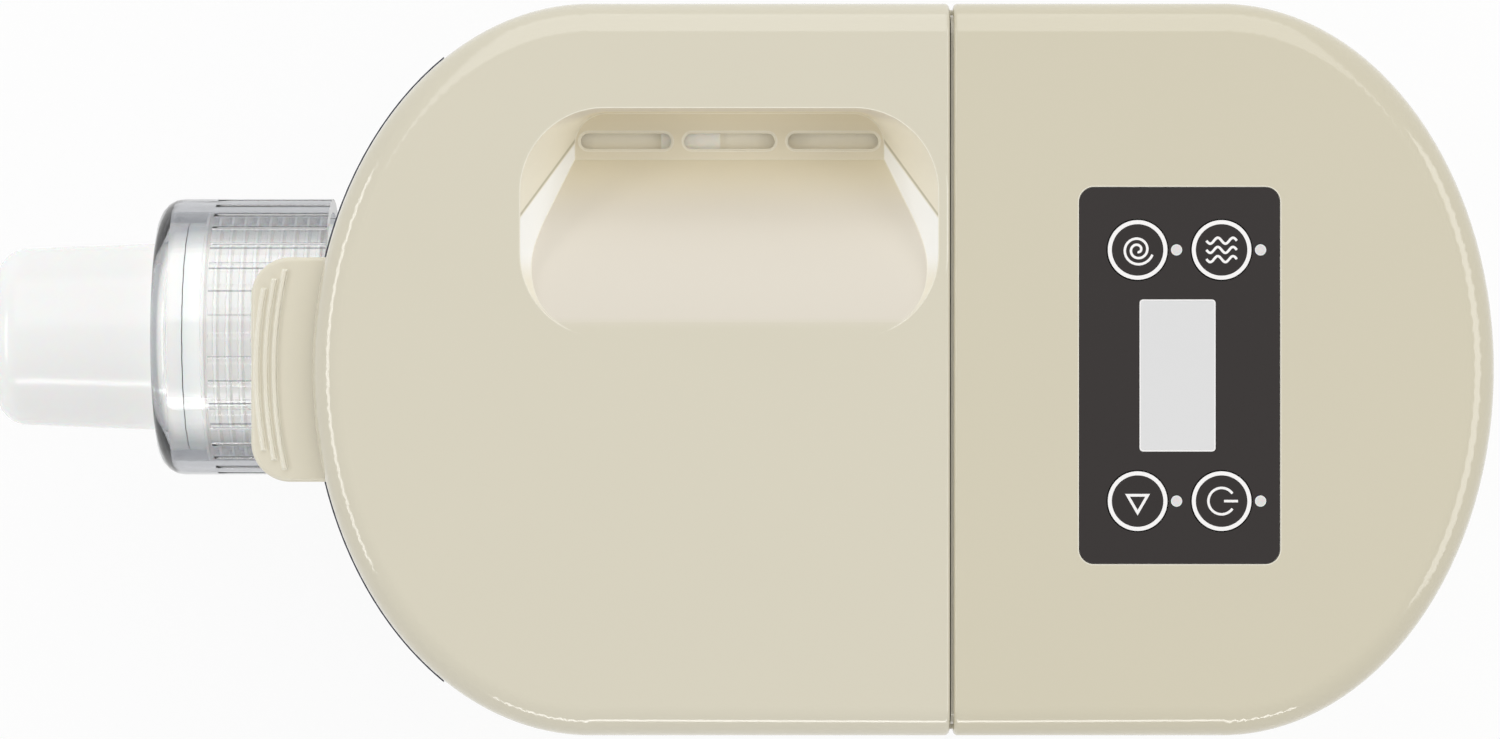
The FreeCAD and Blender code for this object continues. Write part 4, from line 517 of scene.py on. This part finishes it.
# Painted light in the scoop: its inside, deep end, end walls and channel are painted paler to lift their
# shade, the end walls get a painted highlight with a painted shade line at its edge, and sharp edges get a
# painted highlight.
lid_tone = lid_base.outputs["Tone"]
for mask, colour in ((inside, srgb(218, 211, 197)), (deep, srgb(230, 221, 197)),
                     (end_wall, srgb(240, 234, 216)), (scoop_painted_highlight, srgb(255, 255, 252)),
                     (painted_shade_line, srgb(196, 190, 168)), (channel, srgb(254, 248, 230)),
                     (lid_edge.outputs["Edge"], edge_highlight_colour)):
    lid_tone = blend_colours(lid_tree, mask, lid_tone, colour)
lid_bump = add(lid_tree, "ShaderNodeBump", Strength=body_relief, Distance=grain_depth,
               Height=lid_base.outputs["Grain"])
lid_rough = blend_values(lid_tree, inside, lid_base.outputs["Roughness"], satin_roughness)
lid_coat = add(lid_tree, "ShaderNodeMapRange", Value=inside, To_Min=coat_weight, To_Max=0.0)
lid_surface = add(lid_tree, "ShaderNodeBsdfPrincipled", Base_Color=lid_tone, Roughness=lid_rough,
                  Coat_Weight=lid_coat.outputs[0], Coat_Roughness=coat_roughness,
                  Normal=lid_bump.outputs[0])
add(lid_tree, "ShaderNodeOutputMaterial", Surface=lid_surface.outputs[0])
dress(lid_finish, "lid")

# Drip nozzle
# A soft white silicone plug pressed into the floor of the water channel, under the slots.
dress(plastic("white_silicone", srgb(250, 246, 236), gloss=0.5, grain_mm=0.4, spread=0.03, relief=0.2,
              Subsurface_Weight=0.2, Subsurface_Scale=silicone_depth), "drip_nozzle")

# Lid latch
# A lever in the lid's beige, painted a shade paler to lift the shade that the lid casts on it.
# Its three ribs stand 0.9 mm proud, and their crests get a painted highlight, paler still.
rib_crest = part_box("lid_latch")[1].z
crest_highlight_from, crest_highlight_to = rib_crest - 0.7 * MM, rib_crest - 0.1 * MM
latch_finish = blank_material("latch_beige_gloss")
latch_tree = latch_finish.node_tree
latch_base = add(latch_tree, "ShaderNodeGroup", {"node_tree": moulded}, Colour=srgb(226, 220, 201),
                 Tone_Spread=0.02, Gloss=0.14, Gloss_Spread=0.04, Grain_Size=body_grain_mm * MM)
latch_place = add(latch_tree, "ShaderNodeTexCoord")
latch_spot = add(latch_tree, "ShaderNodeSeparateXYZ", Vector=latch_place.outputs["Object"])
# A painted highlight on the rib crests and along the sharp edges.
crest_highlight = add(latch_tree, "ShaderNodeMapRange", Value=latch_spot.outputs["Z"], From_Min=crest_highlight_from,
           From_Max=crest_highlight_to)
latch_edge = add(latch_tree, "ShaderNodeGroup", {"node_tree": caught_edge})
pale = maths(latch_tree, "MAXIMUM", crest_highlight.outputs[0], latch_edge.outputs["Edge"])
latch_tone = blend_colours(latch_tree, pale, latch_base.outputs["Tone"], srgb(255, 253, 242))
latch_bump = add(latch_tree, "ShaderNodeBump", Strength=body_relief, Distance=grain_depth,
                 Height=latch_base.outputs["Grain"])
latch_surface = add(latch_tree, "ShaderNodeBsdfPrincipled", Base_Color=latch_tone,
                    Roughness=latch_base.outputs["Roughness"], Normal=latch_bump.outputs[0])
add(latch_tree, "ShaderNodeOutputMaterial", Surface=latch_surface.outputs[0])
dress(latch_finish, "lid_latch")

# Rear cover
# The same moulding as the body, with a shallow pocket for the control panel.
dress(body_finish, "rear_cover")

# Control panel
# A dark satin film in a shallow pocket of the rear cover, with four round keys, four
# small lamps and the display's pale window.
film_shine = 0.2
film = plastic("panel_film", srgb(49, 45, 44), gloss=0.36, grain_mm=0.5, spread=0.05, relief=0.12,
               Specular_IOR_Level=film_shine)
key_film = plastic("key_film", srgb(47, 43, 42), gloss=0.30, grain_mm=0.5, spread=0.05, relief=0.12,
                   Specular_IOR_Level=film_shine)
display_pale = plastic("display_pale", srgb(219, 219, 219), gloss=0.16, grain_mm=0.8, spread=0.015,
                       relief=0.03)
# The lens edges get a painted highlight colour.
lamp_lens = plastic("lamp_lens", srgb(219, 216, 214), gloss=0.35, grain_mm=0.4, spread=0.03, relief=0.2,
                    edge_highlight=srgb(238, 238, 236), Subsurface_Weight=0.2, Subsurface_Scale=1 * MM)
dress(film, "panel_overlay")
dress(key_film, "key_knead", "key_extrude", "key_auto", "key_power")
dress(display_pale, "display_window")
dress(lamp_lens, "indicator_lenses")

# Printed rings and signs
# Each key has a white ring and one plain sign in screen-printed ink: a spiral of dough,
# three noodles, a start triangle and the common on and off sign.
ink = plastic("white_ink", srgb(243, 241, 240), gloss=0.4, grain_mm=0.25, spread=0.03, relief=0.4)
ink_thickness = 0.04 * MM
pen = 0.62 * MM
ring_radius = 7.45 * MM
ring_line = 1.0 * MM


def printed(name, outlines, height, body):
    # Ink on a flat face: each outline is a closed loop of points, with holes as further
    # loops in the same list. The ink stands just proud of the face.
    curve = bpy.data.curves.new(name, "CURVE")
    curve.dimensions = "2D"
    curve.fill_mode = "BOTH"
    curve.extrude = ink_thickness / 2
    for outline in outlines:
        spline = curve.splines.new("POLY")
        spline.points.add(len(outline) - 1)
        for point, (x, y) in zip(spline.points, outline):
            point.co = (x, y, 0, 1)
        spline.use_cyclic_u = True
    holder = bpy.data.objects.new(name + "_curve", curve)
    mesh = bpy.data.meshes.new_from_object(holder)
    bpy.data.objects.remove(holder)
    mesh.name = name
    mesh.transform(Matrix.Translation((0, 0, height + ink_thickness / 2)))
    mesh.materials.clear()
    mesh.materials.append(ink)
    piece = bpy.data.objects.new(name, mesh)
    scene.collection.objects.link(piece)
    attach(piece, body)


def circle(x, y, radius, steps=96):
    turns = [2 * math.pi * step / steps for step in range(steps)]
    return [(x + radius * math.cos(turn), y + radius * math.sin(turn)) for turn in turns]


def stroke(points):
    # The outline of a pen line of even width along the given points.
    left, right = [], []
    for index, (x, y) in enumerate(points):
        before = points[max(index - 1, 0)]
        after = points[min(index + 1, len(points) - 1)]
        run = Vector((after[0] - before[0], after[1] - before[1])).normalized() * pen / 2
        left.append((x - run.y, y + run.x))
        right.append((x + run.y, y - run.x))
    return right + left[::-1]


def arc(x, y, radius, start, end, steps=40):
    turns = [math.radians(start + (end - start) * step / steps) for step in range(steps + 1)]
    return [(x + radius * math.cos(turn), y + radius * math.sin(turn)) for turn in turns]


def spiral(x, y, steps=60):
    half_turns, inner, outer = 4.4, 0.5 * MM, 3.9 * MM
    points = []
    for step in range(steps + 1):
        turn = half_turns * math.pi * step / steps
        radius = inner + (outer - inner) * step / steps
        points.append((x + radius * math.cos(turn), y + radius * math.sin(turn)))
    return [stroke(points)]


def noodles(x, y, steps=40):
    length, spacing, wave_height, half_waves = 7.6 * MM, 2.3 * MM, 0.75 * MM, 4
    outlines = []
    for row in (-1, 0, 1):
        points = []
        for step in range(steps + 1):
            along = (step / steps - 0.5) * length
            wave = wave_height * math.sin(half_waves * math.pi * step / steps)
            points.append((x + row * spacing + wave, y + along))
        outlines.append(stroke(points))
    return outlines


def start_triangle(x, y):
    size, hole_share = 3.6 * MM, 0.62
    turns = (0, 2 * math.pi / 3, 4 * math.pi / 3)
    corners = [(x + size * math.cos(turn), y + size * math.sin(turn)) for turn in turns]
    hole = [(x + (px - x) * hole_share, y + (py - y) * hole_share) for px, py in corners]
    return [corners, hole]


def on_and_off(x, y):
    radius, gap_end, gap_start = 3.3 * MM, 125, 415
    bar_start, bar_end = 0.6 * MM, 4.1 * MM
    return [stroke(arc(x, y, radius, gap_end, gap_start)), stroke([(x, y + bar_start), (x, y + bar_end)])]


signs = {"key_knead": spiral, "key_extrude": noodles, "key_auto": start_triangle, "key_power": on_and_off}
for key, sign in signs.items():
    key_low, key_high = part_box(key)
    key_x, key_y = (key_low.x + key_high.x) / 2, (key_low.y + key_high.y) / 2
    ring = [circle(key_x, key_y, ring_radius), circle(key_x, key_y, ring_radius - ring_line)]
    printed(key + "_ring", ring, key_high.z, key)
    printed(key + "_sign", sign(key_x, key_y), key_high.z, key)

# Printed border of the display
# A thin line in the same ink runs along the edge of the pale window, with round corners.
border = 0.3 * MM
outer_corner, inner_corner = 0.9 * MM, 0.6 * MM


def rounded_outline(x0, x1, y0, y1, radius, corner_steps=8):
    outline = []
    for x, y, start in ((x1 - radius, y1 - radius, 0), (x0 + radius, y1 - radius, 90),
                        (x0 + radius, y0 + radius, 180), (x1 - radius, y0 + radius, 270)):
        outline.extend(arc(x, y, radius, start, start + 90, corner_steps))
    return outline


window_low, window_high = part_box("display_window")
printed("display_border",
        [rounded_outline(window_low.x, window_high.x, window_low.y, window_high.y, outer_corner),
         rounded_outline(window_low.x + border, window_high.x - border, window_low.y + border,
                         window_high.y - border, inner_corner)], window_high.z, "housing")
